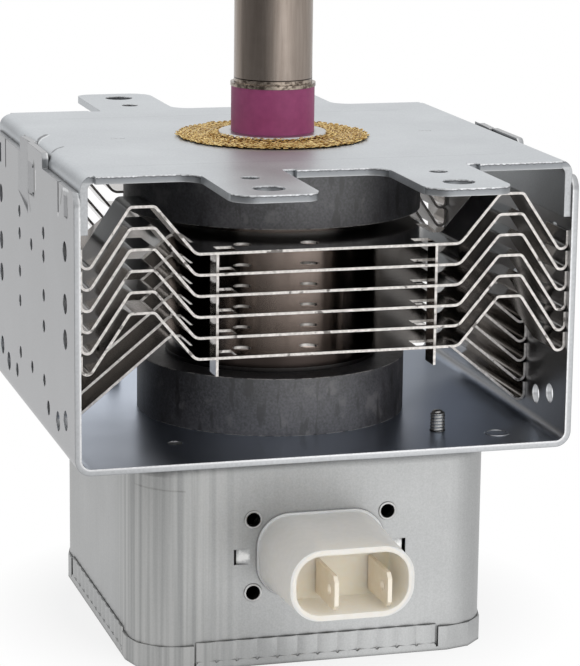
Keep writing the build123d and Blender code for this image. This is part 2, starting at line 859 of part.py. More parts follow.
def make_connector_housing():
    """The moulded connector: a tapered oval socket on a thin foot, and a plainer body inside the box."""
    base = RectangleRounded(connector_base_width, connector_base_height, connector_round)
    rim = RectangleRounded(connector_rim_width, connector_rim_height, connector_round)
    outer = loft([Plane.XZ * base, Plane.XZ.offset(connector_reach) * rim])
    foot_width = connector_base_width + 2 * connector_foot
    foot_height = connector_base_height + 2 * connector_foot
    foot = RectangleRounded(foot_width, foot_height, connector_round + connector_foot)
    outer += extrude(Plane.XZ * foot, amount=connector_foot_depth)
    wall = 2 * connector_wall
    deep = connector_reach - cavity_depth
    share = cavity_depth / connector_reach
    floor_width = connector_rim_width + (connector_base_width - connector_rim_width) * share - wall
    floor_height = connector_rim_height + (connector_base_height - connector_rim_height) * share - wall
    floor = RectangleRounded(floor_width, floor_height, connector_round - connector_wall)
    mouth_width = connector_rim_width - wall
    mouth_height = connector_rim_height - wall
    mouth = RectangleRounded(mouth_width, mouth_height, connector_round - connector_wall)
    cavity = loft([Plane.XZ.offset(deep) * floor, Plane.XZ.offset(connector_reach) * mouth])
    boss = Pos(0, boss_reach, 0) * extrude(Plane.XZ * boss_outline(0), amount=boss_reach)
    housing = outer - cavity + boss
    for x in terminals():
        slot = Rectangle(terminal_thickness + 2 * terminal_fit, terminal_width + 2 * terminal_fit)
        hole = extrude(Plane.XZ * (Pos(x, -terminal_drop) * slot), amount=connector_reach)
        housing -= Pos(0, boss_reach, 0) * hole
    return Pos(connector_x, box_front, connector_z) * housing


def make_terminal(x):
    """A flat tab terminal: a pierced blade in the socket and a narrow tag inside the box."""
    half = terminal_width / 2
    back = boss_reach
    tip = -connector_reach
    tag = terminal_tag_width / 2
    outline = Polyline(
        (back, half),
        (tip + terminal_tip, half),
        (tip, half - terminal_tip),
        (tip, terminal_tip - half),
        (tip + terminal_tip, -half),
        (back, -half),
        (back, -tag),
        (back + terminal_tag_reach, -tag),
        (back + terminal_tag_reach, tag),
        (back, tag),
        close=True,
    )
    blade = make_face(outline) - Pos(tip + terminal_hole_inset, 0) * Circle(terminal_hole_radius)
    solid = extrude(Plane.YZ * blade, amount=terminal_thickness / 2, both=True)
    return Pos(connector_x + x, box_front, terminal_z) * solid


def make_capacitor_flange():
    """The plate behind the box's front, with eyelets through it and notches for the lances."""
    inside = box_front + box_sheet
    outline = RectangleRounded(2 * flange_half_width, 2 * flange_half_height, flange_corner)
    outline -= boss_outline(boss_gap)
    for side in (-1, 1):
        reach = lance_x - lance_length - lance_gap
        notch = Rectangle(2 * lance_length, lance_height + 2 * lance_gap, align=(Align.MIN, Align.CENTER))
        outline -= Pos(reach, 0) * notch if side > 0 else Rot(0, 0, 180) * Pos(reach, 0) * notch
    flange = on_front(outline, inside + flange_sheet, flange_sheet)
    flange += on_front(eyelets(eyelet_radius), inside, box_sheet + eyelet_proud)
    return flange - on_front(eyelets(eyelet_bore), inside + flange_sheet, 3 * flange_sheet)


def choke_side(x):
    """The side of its terminal that a choke lies on: -1 for the left one, 1 for the right one."""
    return copysign(1, x - (terminal_left_x + terminal_right_x) / 2)


def choke_axis(x):
    """The X place of a choke's axis, with its wire against the side of the terminal's tag."""
    return connector_x + x + choke_side(x) * (terminal_thickness / 2 + coil_wire + coil_radius)


def make_choke(x):
    """A choke coil: its turns, a straight tail along the terminal's tag and one to the stem's pin."""
    side = choke_side(x)
    tag_end = box_front + boss_reach + terminal_tag_reach
    turns = coil(coil_radius, coil_wire, coil_pitch, coil_turns)
    choke = Pos(choke_axis(x), tag_end, terminal_z) * Rot(-90, 0, 90 + 90 * side) * turns
    wire_x = choke_axis(x) - side * coil_radius
    front = Vector(wire_x, tag_end, terminal_z)
    back = Vector(wire_x, tag_end + coil_pitch * coil_turns, terminal_z)
    pin = Vector(side * pin_x, 0, stem_bottom - pin_length / 2)
    choke += straight_wire(front, front - Vector(0, terminal_tag_reach - terminal_tip, 0))
    choke += straight_wire(back, pin)
    choke += Pos(*front) * Sphere(coil_wire)
    choke += Pos(*back) * Sphere(coil_wire)
    return choke - upright(lead_radius, 0, box_height, pin.X)


def straight_wire(start, end):
    """A straight length of the choke's wire."""
    way = end - start
    wire = Cylinder(coil_wire, way.length, align=(Align.CENTER, Align.CENTER, Align.MIN))
    return Plane(start, z_dir=way) * wire


def make_ferrite_rod(x):
    """The ferrite rod inside a choke coil."""
    middle = box_front + boss_reach + terminal_tag_reach + coil_pitch * coil_turns / 2
    shape = Rot(90, 0, 0) * Cylinder(coil_radius - coil_wire - rod_gap, rod_length)
    return Pos(choke_axis(x), middle, terminal_z) * shape


def make_screws():
    """The screws that hold the box to the yoke, with their heads inside the box."""
    seat = box_height - box_sheet
    screws = Part()
    for x, y in screw_places():
        shank = upright(screw_radius, seat, seat + screw_length, x, y)
        screws += upright(screw_head_radius, seat - screw_head_height, seat, x, y)
        screws += fillet(shank.edges().group_by(Axis.Z)[-1], screw_tip)
    return screws


os.makedirs("parts", exist_ok=True)

save("lower_yoke", make_lower_yoke())
save("upper_yoke", make_upper_yoke())

lower_bore = lower_neck_radius + lower_bore_gap
upper_bore = upper_neck_radius + neck_clearance
save("lower_magnet", ring(lower_magnet_radius, lower_bore, floor_top, lower_magnet_top))
save("upper_magnet", ring(upper_magnet_radius, upper_bore, upper_magnet_bottom, plate_bottom))

save("anode_cylinder", make_anode_cylinder())
for number in range(vane_count):
    save(f"anode_vane_{number + 1}", make_vane(number))
for name, radius in zip(("inner", "outer"), strap_radii):
    save(f"upper_{name}_strap", make_strap(radius, vane_top))
    save(f"lower_{name}_strap", make_strap(radius, vane_bottom + strap_height))

upper_pole = make_pole_piece()
flip = Plane.XY.offset(anode_middle)
save("lower_pole_piece", mirror(upper_pole, about=flip))
points = antenna_points()
slant = Vector(*points[2]) - Vector(*points[1])
antenna_way = Plane(Vector(*points[1]), z_dir=slant) * Cylinder(
    antenna_radius + antenna_hole_gap, slant.length, align=(Align.CENTER, Align.CENTER, Align.MIN)
)
save("upper_pole_piece", upper_pole - antenna_way)

save("cathode_filament", make_filament())
save("upper_end_hat", upright(upper_hat_radius, upper_hat_bottom, upper_hat_bottom + hat_sheet))
save("lower_end_hat", ring(lower_hat_radius, lower_hat_hole, lower_hat_top - hat_sheet, lower_hat_top))
save("centre_lead", make_centre_lead())
save("side_lead", make_side_lead())

save("upper_sealing_can", make_upper_can())
save("lower_sealing_can", make_lower_can())
save("stem_ceramic", make_stem_ceramic())
save("output_ceramic", ring(ceramic_radius, ceramic_radius - ceramic_wall, collar_top, ceramic_top))
save("antenna_lead", rod(antenna_radius, antenna_bend, *points))
save("exhaust_cup", make_exhaust_cup())
save("exhaust_tube", make_exhaust_tube())
save("antenna_cap", make_antenna_cap())
save("rf_gasket", make_gasket())

for number in range(fin_count):
    save(f"fin_{number + 1}", make_fin(anode_top - fin_below_anode_top - number * fin_pitch))

save("filter_box", make_filter_box())
save("filter_lid", make_filter_lid())
save("connector_housing", make_connector_housing())
save("capacitor_flange", make_capacitor_flange())
for name, place in zip(("left", "right"), terminals()):
    save(f"{name}_terminal", make_terminal(place))
    save(f"{name}_choke_coil", make_choke(place))
    save(f"{name}_ferrite_rod", make_ferrite_rod(place))
save("box_screws", make_screws())
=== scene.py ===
# %% [markdown]
# # A magnetron from a microwave oven
# The solids come from the CAD model and stay where they are. This lesson gives them the
# finishes of the real metals, ceramics and plastic, adds the knitted, threaded and rolled
# details that are finer than a solid, and lights them for a picture.

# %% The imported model
from math import cos, pi, radians, sin

import bmesh
import bpy
import numpy as np
from mathutils import Matrix, Vector


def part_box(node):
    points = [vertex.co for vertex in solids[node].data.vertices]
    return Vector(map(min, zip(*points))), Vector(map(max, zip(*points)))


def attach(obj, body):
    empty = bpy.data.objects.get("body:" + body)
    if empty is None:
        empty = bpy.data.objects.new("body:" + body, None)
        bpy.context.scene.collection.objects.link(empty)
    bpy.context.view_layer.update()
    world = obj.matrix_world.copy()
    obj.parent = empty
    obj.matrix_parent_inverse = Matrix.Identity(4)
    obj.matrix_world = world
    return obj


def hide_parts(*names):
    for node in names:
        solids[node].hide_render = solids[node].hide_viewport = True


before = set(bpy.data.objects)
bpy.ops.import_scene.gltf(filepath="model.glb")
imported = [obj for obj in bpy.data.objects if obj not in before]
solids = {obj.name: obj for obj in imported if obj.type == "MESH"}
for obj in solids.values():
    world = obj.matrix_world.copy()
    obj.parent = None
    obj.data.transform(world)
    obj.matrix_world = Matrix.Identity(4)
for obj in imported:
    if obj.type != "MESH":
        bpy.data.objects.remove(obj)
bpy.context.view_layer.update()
print("solids:", len(solids))

# %% [markdown]
# ## Camera
# The picture was taken from the front left, a little above, with a long lens. A camera can be
# aimed by eye until the edges match, but here its place and its turn were worked out from the
# corners of the plate, the yoke and the box, so they are given as numbers. The lens is given for
# a 36 mm wide sensor, from its focal length in pixels of the photograph.

# %% Camera
MM = 0.001
CAMERA_PLACE = Vector((-141.256, -504.908, 170.618)) * MM
AZIMUTH, ELEVATION, ROLL = radians(-16.048), radians(12.403), radians(0.671)
FOCAL_PIXELS, PHOTO_WIDTH, SENSOR_WIDTH = 2752.04, 580, 36

forward = Vector((-sin(AZIMUTH) * cos(ELEVATION), cos(AZIMUTH) * cos(ELEVATION), -sin(ELEVATION)))
level_right = Vector((cos(AZIMUTH), sin(AZIMUTH), 0))
level_up = level_right.cross(forward)
camera_right = cos(ROLL) * level_right + sin(ROLL) * level_up
camera_up = cos(ROLL) * level_up - sin(ROLL) * level_right

lens = bpy.data.cameras.new("long_lens")
lens.sensor_fit = "HORIZONTAL"
lens.sensor_width = SENSOR_WIDTH
lens.lens = FOCAL_PIXELS * SENSOR_WIDTH / PHOTO_WIDTH
lens.clip_start = 0.01
camera = bpy.data.objects.new("camera", lens)
turn = Matrix((camera_right, camera_up, -forward)).transposed()
camera.matrix_world = Matrix.Translation(CAMERA_PLACE) @ turn.to_4x4()
bpy.context.scene.collection.objects.link(camera)
bpy.context.scene.camera = camera
print("lens in mm:", round(lens.lens, 1))

# %% [markdown]
# ## Colours and nodes
# Colours are picked from a screen, as sRGB hex values, and Blender mixes light in linear values,
# so one function turns the first into the second. A second one fills a node's inputs, and a
# third adds a node with its settings. Map Range is given by the numbers of its inputs: 0 is the
# value, 1 and 2 the range it comes from, 3 and 4 the range it goes to. A noise texture's scale
# says how many of its cells fit in a metre, so each is worked out from one cell's real size.

# %% Helpers for finishes
def linear(hex_colour):
    """The linear RGBA of an sRGB hex colour: v/12.92 up to 0.04045, ((v+0.055)/1.055)^2.4 above."""
    srgb = np.array([int(hex_colour[i:i + 2], 16) for i in (1, 3, 5)]) / 255
    low, high = srgb / 12.92, ((srgb + 0.055) / 1.055) ** 2.4
    return (*np.where(srgb <= 0.04045, low, high).tolist(), 1.0)


def fill(tree, node, inputs):
    """Fills a node's inputs, each from a number, a hex colour, a socket, or the first output that
    another node has in use."""
    for key, value in inputs.items():
        if isinstance(value, bpy.types.Node):
            value = next(socket for socket in value.outputs if socket.enabled)
        if isinstance(value, bpy.types.NodeSocket):
            tree.links.new(value, node.inputs[key])
        else:
            node.inputs[key].default_value = linear(value) if isinstance(value, str) else value


def add(tree, kind, inputs=None, **settings):
    """Adds a shader node with its settings, and fills its inputs."""
    node = tree.nodes.new("ShaderNode" + kind)
    for name, value in settings.items():
        setattr(node, name, value)
    fill(tree, node, inputs or {})
    return node


def cells(size_mm):
    """The scale of a pattern whose cells are about this many mm wide: 1 / size in metres."""
    return 1 / (size_mm * MM)


def new_finish(name, **shader_inputs):
    """A material, its nodes, its principled shader and where a point is on the solid, in metres."""
    material = bpy.data.materials.new(name)
    material.use_nodes = True
    tree = material.node_tree
    shader = tree.nodes["Principled BSDF"]
    fill(tree, shader, {key.replace("_", " "): value for key, value in shader_inputs.items()})
    return material, tree, shader, add(tree, "TexCoord").outputs["Object"]


def wear(finish, *names):
    """Puts a finish on solids, by name."""
    for name in names:
        data = solids[name].data
        data.materials.clear()
        data.materials.append(finish)
        data.polygons.foreach_set("material_index", np.zeros(len(data.polygons), np.int32))
    print(finish.name, "is on:", *names)


print("mid grey #808080 in linear light:", round(linear("#808080")[0], 3))

# %% [markdown]
# ## Edges and marks
# No real edge is perfectly sharp: a sheared sheet has a small roll on one side and a burr on the
# other, and both flash in the light. A Bevel modifier would cut that roll into thousands of
# faces. Blender's Bevel node only bends the normal near an edge, which gives the same flash, and
# how far it bends it is a mask, which on the fins paints a bright line, a painted highlight. A used
# part also has creases and scratches, each a short line at a place that one can point to, so each
# is drawn by its two ends; many of these marks are painted shade and painted highlights.

# %% Edge and mark helpers
def soft_edges(tree, radius_mm):
    """The normal, rounded near edges, and a mask that rises from 0 to 1 where it is bent."""
    bent = add(tree, "Bevel", {"Radius": radius_mm * MM}, samples=6)
    true = add(tree, "NewGeometry").outputs["True Normal"]
    along = add(tree, "VectorMath", {0: bent, 1: true}, operation="DOT_PRODUCT").outputs["Value"]
    return bent, add(tree, "MapRange", {0: along, 1: 1.0, 2: 0.8})


def marked(tree, place, colour, seen_along, facing, marks):
    """Draws marks over a colour: each has a start, an end and a width in mm, a colour, a strength.

    The nearest point of the line is start + t run, with t = (p - start).run / run^2 held between
    0 and 1, and the mark fades out as the distance to it grows to its width. Both are flattened
    along the way that they are seen, a little noise roughens them, and only faces that face that
    way have them.
    """
    flat = [0.0 if axis == seen_along else 1.0 for axis in "XYZ"]
    torn = add(tree, "TexNoise", {"Vector": place, "Scale": cells(1.11), "Detail": 3})
    normal = add(tree, "TexCoord").outputs["Normal"]
    way = add(tree, "SeparateXYZ", {"Vector": normal}).outputs[seen_along]
    side = add(tree, "MapRange", {0: way, 1: 0.2 * facing, 2: 0.5 * facing})
    for start, end, width, over, strength in marks:
        start, end, width = Vector(start) * MM, Vector(end) * MM, width * MM
        run = end - start
        away = add(tree, "VectorMath", {0: place, 1: start}, operation="SUBTRACT")
        away = add(tree, "VectorMath", {0: away, 1: flat}, operation="MULTIPLY")
        scaled = run / run.length_squared
        along = add(tree, "VectorMath", {0: away, 1: scaled}, operation="DOT_PRODUCT")
        held = add(tree, "Clamp", {"Value": along.outputs["Value"]})
        step = add(tree, "VectorMath", {0: run, "Scale": held}, operation="SCALE")
        gap = add(tree, "VectorMath", {0: away, 1: step}, operation="DISTANCE").outputs["Value"]
        shake = add(tree, "MapRange", {0: torn, 1: 0.3, 2: 0.7, 3: -0.35 * width, 4: 0.35 * width})
        gap = add(tree, "Math", {0: gap, 1: shake}, operation="ADD")
        share = add(tree, "MapRange", {0: gap, 1: width, 2: 0.3 * width, 3: 0.0, 4: strength})
        share = add(tree, "Math", {0: share, 1: side}, operation="MULTIPLY")
        colour = add(tree, "Mix", {"Factor": share, "A": colour, "B": over}, data_type="RGBA")
    return colour


def sheared(tree, least):
    """A mask for edges that a shear cut, which face front or back: 1 where |normal Y| > least."""
    normal = add(tree, "TexCoord").outputs["Normal"]
    across = add(tree, "SeparateXYZ", {"Vector": normal}).outputs["Y"]
    across = add(tree, "Math", {0: across}, operation="ABSOLUTE")
    return add(tree, "Math", {0: across, 1: least}, operation="GREATER_THAN")


# %% [markdown]
# ## Sheet steel
# The plate, the yoke and the box are pressed from zinc-coated sheet. Zinc is a grey metal with
# a fine grain, a little cloudy where hands and tools have rubbed it. One grey with a roughness
# would look like paint, so two noises mix two greys: clouds for the handling and a grain for the
# coating. The real grain is a few hundredths of a mm, too fine to show, so it is drawn as coarse
# as it needs to be seen. The other cold metals are made the same way, with other greys.

# %% Grained metal
CREVICE = 1.0 * MM
CREVICE_SHADE_COLOUR = "#343332"


def grained_metal(name, light, dark, roughness, grain_mm, bump, edge_mm=0.2, streaks=0.0):
    """A cold-worked metal: clouds and a grain between two greys, upright rub marks where it was
    drawn, and painted shade in corners and slits, a dark grey where the ambient occlusion says
    that little light comes in."""
    finish, tree, shader, place = new_finish(name, Metallic=1.0)
    clouds = add(tree, "TexNoise", {"Vector": place, "Scale": cells(16.7), "Detail": 5})
    grain = add(tree, "TexNoise", {"Vector": place, "Scale": cells(grain_mm), "Detail": 3})
    both = add(tree, "Mix", {"Factor": 0.45, "A": clouds, "B": grain})
    upright = add(tree, "Mapping", {"Vector": place, "Scale": (1, 1, 0.03)})
    upright_streaks = add(tree, "TexNoise", {"Vector": upright, "Scale": cells(0.77), "Detail": 3})
    both = add(tree, "Mix", {"Factor": streaks, "A": both, "B": upright_streaks})
    share = add(tree, "MapRange", {0: both, 1: 0.36, 2: 0.64})
    face = add(tree, "Mix", {"Factor": share, "A": dark, "B": light}, data_type="RGBA")
    # Painted shade: corners and slits darken towards a dark grey, by ambient occlusion.
    crevice = add(tree, "AmbientOcclusion", {"Distance": CREVICE}, samples=8).outputs["AO"]
    crevice = add(tree, "MapRange", {0: crevice, 1: 0.8, 2: 0.35, 3: 0.0, 4: 0.85})
    face = add(tree, "Mix", {"Factor": crevice, "A": face, "B": CREVICE_SHADE_COLOUR}, data_type="RGBA")
    normal = soft_edges(tree, edge_mm)[0]
    relief = {"Height": grain, "Strength": bump, "Distance": 0.1 * MM, "Normal": normal}
    relief = add(tree, "Bump", relief)
    shine = add(tree, "MapRange", {0: clouds, 3: roughness - 0.08, 4: roughness + 0.08})
    fill(tree, shader, {"Base Color": face, "Roughness": shine, "Normal": relief})
    return finish, tree, shader, place, face


# %% [markdown]
# ## Cut edges
# A shear cuts the first part of a sheet's thickness bright and tears the rest, so a cut edge
# shows a bright line, a dark one and a dull grey band. These bands could be modelled, but they
# are a tenth of a mm high. A colour ramp over the depth in the sheet draws them all at once, and
# it needs only the formula for that depth.

# %% Bands of a cut edge
LEAST_ACROSS = 0.3


def cut_edge(tree, shader, place, face, depth, bands):
    """Gives a sheet's cut edges bands of colour, by a depth that runs 0 to 1 through its
    thickness, and a noise shifts them a little and roughens them."""
    torn = add(tree, "TexNoise", {"Vector": place, "Scale": cells(0.556), "Detail": 4})
    shake = add(tree, "MapRange", {0: torn, 1: 0.3, 2: 0.7, 3: -0.07, 4: 0.07})
    shaken = add(tree, "Math", {0: depth(tree, place), 1: shake}, operation="ADD")
    ramp = add(tree, "ValToRGB", {"Fac": shaken})
    stops = ramp.color_ramp.elements
    while len(stops) < len(bands):
        stops.new(0.5)
    for stop, (position, colour) in zip(stops, bands):
        stop.position = position
        stop.color = linear(colour)
    rough = add(tree, "MapRange", {0: torn, 1: 0.35, 2: 0.65, 3: 0.0, 4: 0.35})
    edge = add(tree, "Mix", {"Factor": rough, "A": ramp, "B": "#8E9092"}, data_type="RGBA")
    cut = sheared(tree, LEAST_ACROSS)
    whole = add(tree, "Mix", {"Factor": cut, "A": face, "B": edge}, data_type="RGBA")
    fill(tree, shader, {"Base Color": whole})


# %% [markdown]
# ## Plate
# The upper plate closes the iron circuit and is what the oven holds. Its folds were creased at
# their ends, and each crease is drawn on its top as a dark line of painted shade, with a painted
# highlight beside the first one. Two faint darker lines run across it where it was pressed flat.
# Its depth is simply how far a point is below that top.

# %% Plate
PLATE_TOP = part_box("upper_yoke")[1][2]
PLATE_THICKNESS = 1.4 * MM
PLATE_BANDS = (
    (0.0, "#F2F4F5"), (0.14, "#E4E6E8"), (0.22, "#4E5054"),
    (0.34, "#8C8F93"), (0.85, "#A2A5A8"), (0.97, "#C2C4C6"))
# The creases are painted shade, with one painted highlight; the last two are faint darker lines.
PLATE_CREASE_SHADE_AND_HIGHLIGHTS = (
    ((-45.9, 2.6, 0), (-42.1, 10.0, 0), 0.55, "#4E5054", 0.85),
    ((-45.4, 2.2, 0), (-41.6, 9.6, 0), 0.3, "#F4F6F7", 0.6),
    ((-44.7, -9.4, 0), (-41.9, -5.7, 0), 0.35, "#5E6064", 0.8),
    ((-36.0, -30.5, 0), (36.0, -30.5, 0), 0.3, "#A4A8AC", 0.35),
    ((-36.0, 30.5, 0), (36.0, 30.5, 0), 0.3, "#A4A8AC", 0.35),
)


def plate_depth(tree, place):
    """How deep in the plate a point is, from its top: (top - z) / thickness."""
    z = add(tree, "SeparateXYZ", {"Vector": place}).outputs["Z"]
    return add(tree, "MapRange", {0: z, 1: PLATE_TOP, 2: PLATE_TOP - PLATE_THICKNESS})


plate_zinc, tree, shader, place, face = grained_metal(
    "zinc_coated_plate", "#D2D6D9", "#C1C5C9", 0.42, 0.35, 0.15)
face = marked(tree, place, face, "Z", 1, PLATE_CREASE_SHADE_AND_HIGHLIGHTS)
cut_edge(tree, shader, place, face, plate_depth, PLATE_BANDS)
wear(plate_zinc, "upper_yoke")

# %% [markdown]
# ## Yoke
# The yoke is one strip folded to a U. Its up-facing floor is tinted a lighter blue, a painted
# reflection, and its left wall has the painted shade and painted highlights of the creases, slots
# and burrs of its louvre. A U has no single top to measure depth from, so the depth is taken from
# the lines that its two bends are rounded about: the further a point is from them, the nearer it
# is to the outside.

# %% Yoke
BEND_X, BEND_Z, BEND_OUTSIDE, BEND_INSIDE = 44.1 * MM, 43.0 * MM, 3.0 * MM, 1.8 * MM
FLOOR_PAINTED_REFLECTION, FLOOR_TOP, NO_PAINTED_REFLECTION_ABOVE = "#BCC6D6", 42 * MM, 43 * MM
YOKE_BANDS = (
    (0.0, "#A8AAAC"), (0.3, "#B4B6B8"), (0.65, "#BDBEC0"), (0.8, "#E8E9EA"), (1.0, "#EDEEEE"))
# Painted shade and painted highlights of the louvre's pocket, its slots and burrs.
LOUVRE_SHADE_AND_HIGHLIGHTS = (
    ((0, 4.2, 93.0), (0, 3.9, 85.5), 1.7, "#55575B", 0.5),
    ((0, 3.9, 85.5), (0, 0.8, 81.4), 1.0, "#55575B", 0.45),
    ((0, -3.2, 90.0), (0, -3.2, 85.4), 1.3, "#1E1E1F", 0.95),
    ((0, -4.9, 89.4), (0, -4.9, 86.2), 0.5, "#F0F1F2", 0.7),
    ((0, -34.2, 88.7), (0, -34.2, 86.4), 1.3, "#1E1E1F", 0.95),
    ((0, -28.9, 87.6), (0, -30.2, 89.9), 0.5, "#4A4B4E", 0.6),
    ((0, -31.0, 90.4), (0, -35.6, 90.8), 0.4, "#F0F1F2", 0.7),
    ((0, -26.8, 91.6), (0, -26.6, 85.8), 0.45, "#2A2A2B", 0.9),
    ((0, -26.5, 85.3), (0, -26.4, 85.0), 0.5, "#FAFAFA", 0.9),
)


def yoke_depth(tree, place):
    """How deep in the folded yoke a point is, from its outside.

    The distance to the corner is sqrt(a^2 + b^2), with a = max(|x| - bend x, 0) and
    b = max(bend z - z, 0), and it falls from the outer to the inner radius of the bend.
    """
    at = add(tree, "SeparateXYZ", {"Vector": place})
    side = add(tree, "Math", {0: at.outputs["X"]}, operation="ABSOLUTE")
    side = add(tree, "Math", {0: side, 1: BEND_X}, operation="SUBTRACT")
    side = add(tree, "Math", {0: side, 1: 0.0}, operation="MAXIMUM")
    foot = add(tree, "Math", {0: BEND_Z, 1: at.outputs["Z"]}, operation="SUBTRACT")
    foot = add(tree, "Math", {0: foot, 1: 0.0}, operation="MAXIMUM")
    square = add(tree, "Math", {0: foot, 1: foot}, operation="MULTIPLY")
    square = add(tree, "Math", {0: side, 1: side, 2: square}, operation="MULTIPLY_ADD")
    distance = add(tree, "Math", {0: square}, operation="SQRT")
    return add(tree, "MapRange", {0: distance, 1: BEND_OUTSIDE, 2: BEND_INSIDE})


yoke_zinc, tree, shader, place, face = grained_metal(
    "zinc_coated_yoke", "#B3B4B6", "#9C9D9F", 0.32, 0.30, 0.12)
# Painted reflection: up-facing faces low on the yoke get a lighter blue tint.
normal = add(tree, "TexCoord").outputs["Normal"]
up = add(tree, "SeparateXYZ", {"Vector": normal}).outputs["Z"]
up = add(tree, "MapRange", {0: up, 1: 0.5, 2: 0.9})
low = add(tree, "SeparateXYZ", {"Vector": place}).outputs["Z"]
low = add(tree, "MapRange", {0: low, 1: NO_PAINTED_REFLECTION_ABOVE, 2: FLOOR_TOP})
share = add(tree, "Math", {0: up, 1: low}, operation="MULTIPLY")
face = add(tree, "Mix", {"Factor": share, "A": face, "B": FLOOR_PAINTED_REFLECTION}, data_type="RGBA")
face = marked(tree, place, face, "X", -1, LOUVRE_SHADE_AND_HIGHLIGHTS)
cut_edge(tree, shader, place, face, yoke_depth, YOKE_BANDS)
wear(yoke_zinc, "lower_yoke")

# %% [markdown]
# ## Filter box
# The box is drawn deep from the same sheet. Its front left rounded corner is darker, which is
# painted shade, with upright streaks in it: a noise that is stretched about eighty times upright,
# which comes in where x + y says that the corner begins.

# %% Filter box
CORNER_FROM, CORNER_TO, CORNER_STRENGTH = -48 * MM, -58 * MM, 0.5
# A thin darker line on the front, and a painted highlight on each of the two lances.
BOX_LINE_AND_LANCE_HIGHLIGHTS = (
    ((-33.6, 0, 34.9), (-25.6, 0, 34.3), 0.22, "#7C7C7A", 0.7),
    ((-15.0, 0, 21.1), (-14.0, 0, 21.1), 1.15, "#FAFAF8", 0.8),
    ((14.7, 0, 21.1), (15.7, 0, 21.1), 1.15, "#FAFAF8", 0.8),
)

box_zinc, tree, shader, place, face = grained_metal(
    "drawn_zinc_coated_box", "#BCBDBD", "#A9AAAA", 0.46, 0.30, 0.2, streaks=0.12)
face = marked(tree, place, face, "Y", -1, BOX_LINE_AND_LANCE_HIGHLIGHTS)
# Painted shade: the front left rounded corner turns darker, with upright streaks.
at = add(tree, "SeparateXYZ", {"Vector": place})
corner = add(tree, "Math", {0: at.outputs["X"], 1: at.outputs["Y"]}, operation="ADD")
corner = add(tree, "MapRange", {0: corner, 1: CORNER_FROM, 2: CORNER_TO, 4: CORNER_STRENGTH})
upright = add(tree, "Mapping", {"Vector": place, "Scale": (1, 1, 0.012)})
upright_streaks = add(tree, "TexNoise", {"Vector": upright, "Scale": cells(1.43), "Detail": 3})
upright_streaks = add(tree, "MapRange", {0: upright_streaks, 1: 0.4, 2: 0.6})
upright_streaks = add(tree, "Mix", {"Factor": upright_streaks, "A": "#8C8D8C", "B": "#C2C2C0"}, data_type="RGBA")
face = add(tree, "Mix", {"Factor": corner, "A": face, "B": upright_streaks}, data_type="RGBA")
fill(tree, shader, {"Base Color": face})
wear(box_zinc, "filter_box", "filter_lid")

# %% [markdown]
# ## Small steel parts
# The can under the antenna and the plate behind the box's front are nickel-plated steel: bright,
# with a tight grain. The lower can and its pole piece are the same grained steel made nearly
# black, which is painted shade.

# %% Plated steel and shade-darkened steel
plated_steel = grained_metal("plated_steel", "#C9C9C8", "#AEAEAC", 0.3, 0.25, 0.1)[0]
wear(plated_steel, "upper_sealing_can", "capacitor_flange", "upper_pole_piece")
# Painted shade: the lower can and its pole piece are nearly black.
shade_darkened_steel = grained_metal("shade_darkened_steel", "#5E5C5B", "#454342", 0.4, 0.25, 0.1)[0]
wear(shade_darkened_steel, "lower_sealing_can", "lower_pole_piece")

# %% [markdown]
# ## Cooling fins
# The fins are thin bright aluminium. Their rolled faces mirror what is round them, which in the
# narrow gaps is mostly dark, while each sheared edge is rough and paler. So a mask for the sheared
# edges switches the colour and the roughness together; their pale colour is partly the cut metal's
# own and partly a painted highlight, and two noises nick that bright line. A bright line is also
# painted along every rounded edge, a painted highlight.

# %% Aluminium fins
FIN_EDGE_LEAST, FIN_EDGE_ROUND = 0.5, 0.12
FACE_ROUGHNESS, EDGE_ROUGHNESS = 0.14, 0.5

fin_metal, tree, shader, place = new_finish("rolled_aluminium", Metallic=1.0)
drawn_out = add(tree, "Mapping", {"Vector": place, "Scale": (1, 12, 1)})
streaks = add(tree, "TexNoise", {"Vector": drawn_out, "Scale": cells(4.55), "Detail": 4})
face = add(tree, "Mix", {"Factor": streaks, "A": "#A5A19E", "B": "#C2BEBA"}, data_type="RGBA")
torn = add(tree, "TexNoise", {"Vector": place, "Scale": cells(0.667), "Detail": 4})
torn = add(tree, "MapRange", {0: torn, 1: 0.4, 2: 0.62})
# The sheared edges are paler, partly their own colour and partly a painted highlight.
edge = add(tree, "Mix", {"Factor": torn, "A": "#CFCBC7", "B": "#EAE6E2"}, data_type="RGBA")
nicks = add(tree, "TexNoise", {"Vector": place, "Scale": cells(2.38), "Detail": 5})
nicks = add(tree, "MapRange", {0: nicks, 1: 0.62, 2: 0.66, 4: 0.8})
edge = add(tree, "Mix", {"Factor": nicks, "A": edge, "B": "#5F5B58"}, data_type="RGBA")
normal, near = soft_edges(tree, FIN_EDGE_ROUND)
# Painted highlight: a bright line along every rounded edge.
edge_highlighted = add(tree, "Mix", {"Factor": near, "A": face, "B": "#E6E2DE"}, data_type="RGBA")
cut = sheared(tree, FIN_EDGE_LEAST)
whole = add(tree, "Mix", {"Factor": cut, "A": edge_highlighted, "B": edge}, data_type="RGBA")
shine = add(tree, "MapRange", {0: cut, 3: FACE_ROUGHNESS, 4: EDGE_ROUGHNESS})
fill(tree, shader, {"Base Color": whole, "Roughness": shine, "Normal": normal})
wear(fin_metal, *sorted(name for name in solids if name.startswith("fin_")))

# %% [markdown]
# ## Magnets
# The ring magnets are sintered ferrite: a charcoal ceramic, ground flat, with a fine speckle
# and a soft shine. It is brittle, so its rims are chipped, and it is stained here and there.
# Chips could be cut into the mesh, but they are under a mm. The mask of the rounded edge, times
# a noise, puts pale chips on the rims alone, and two more noises make the stains and drips.

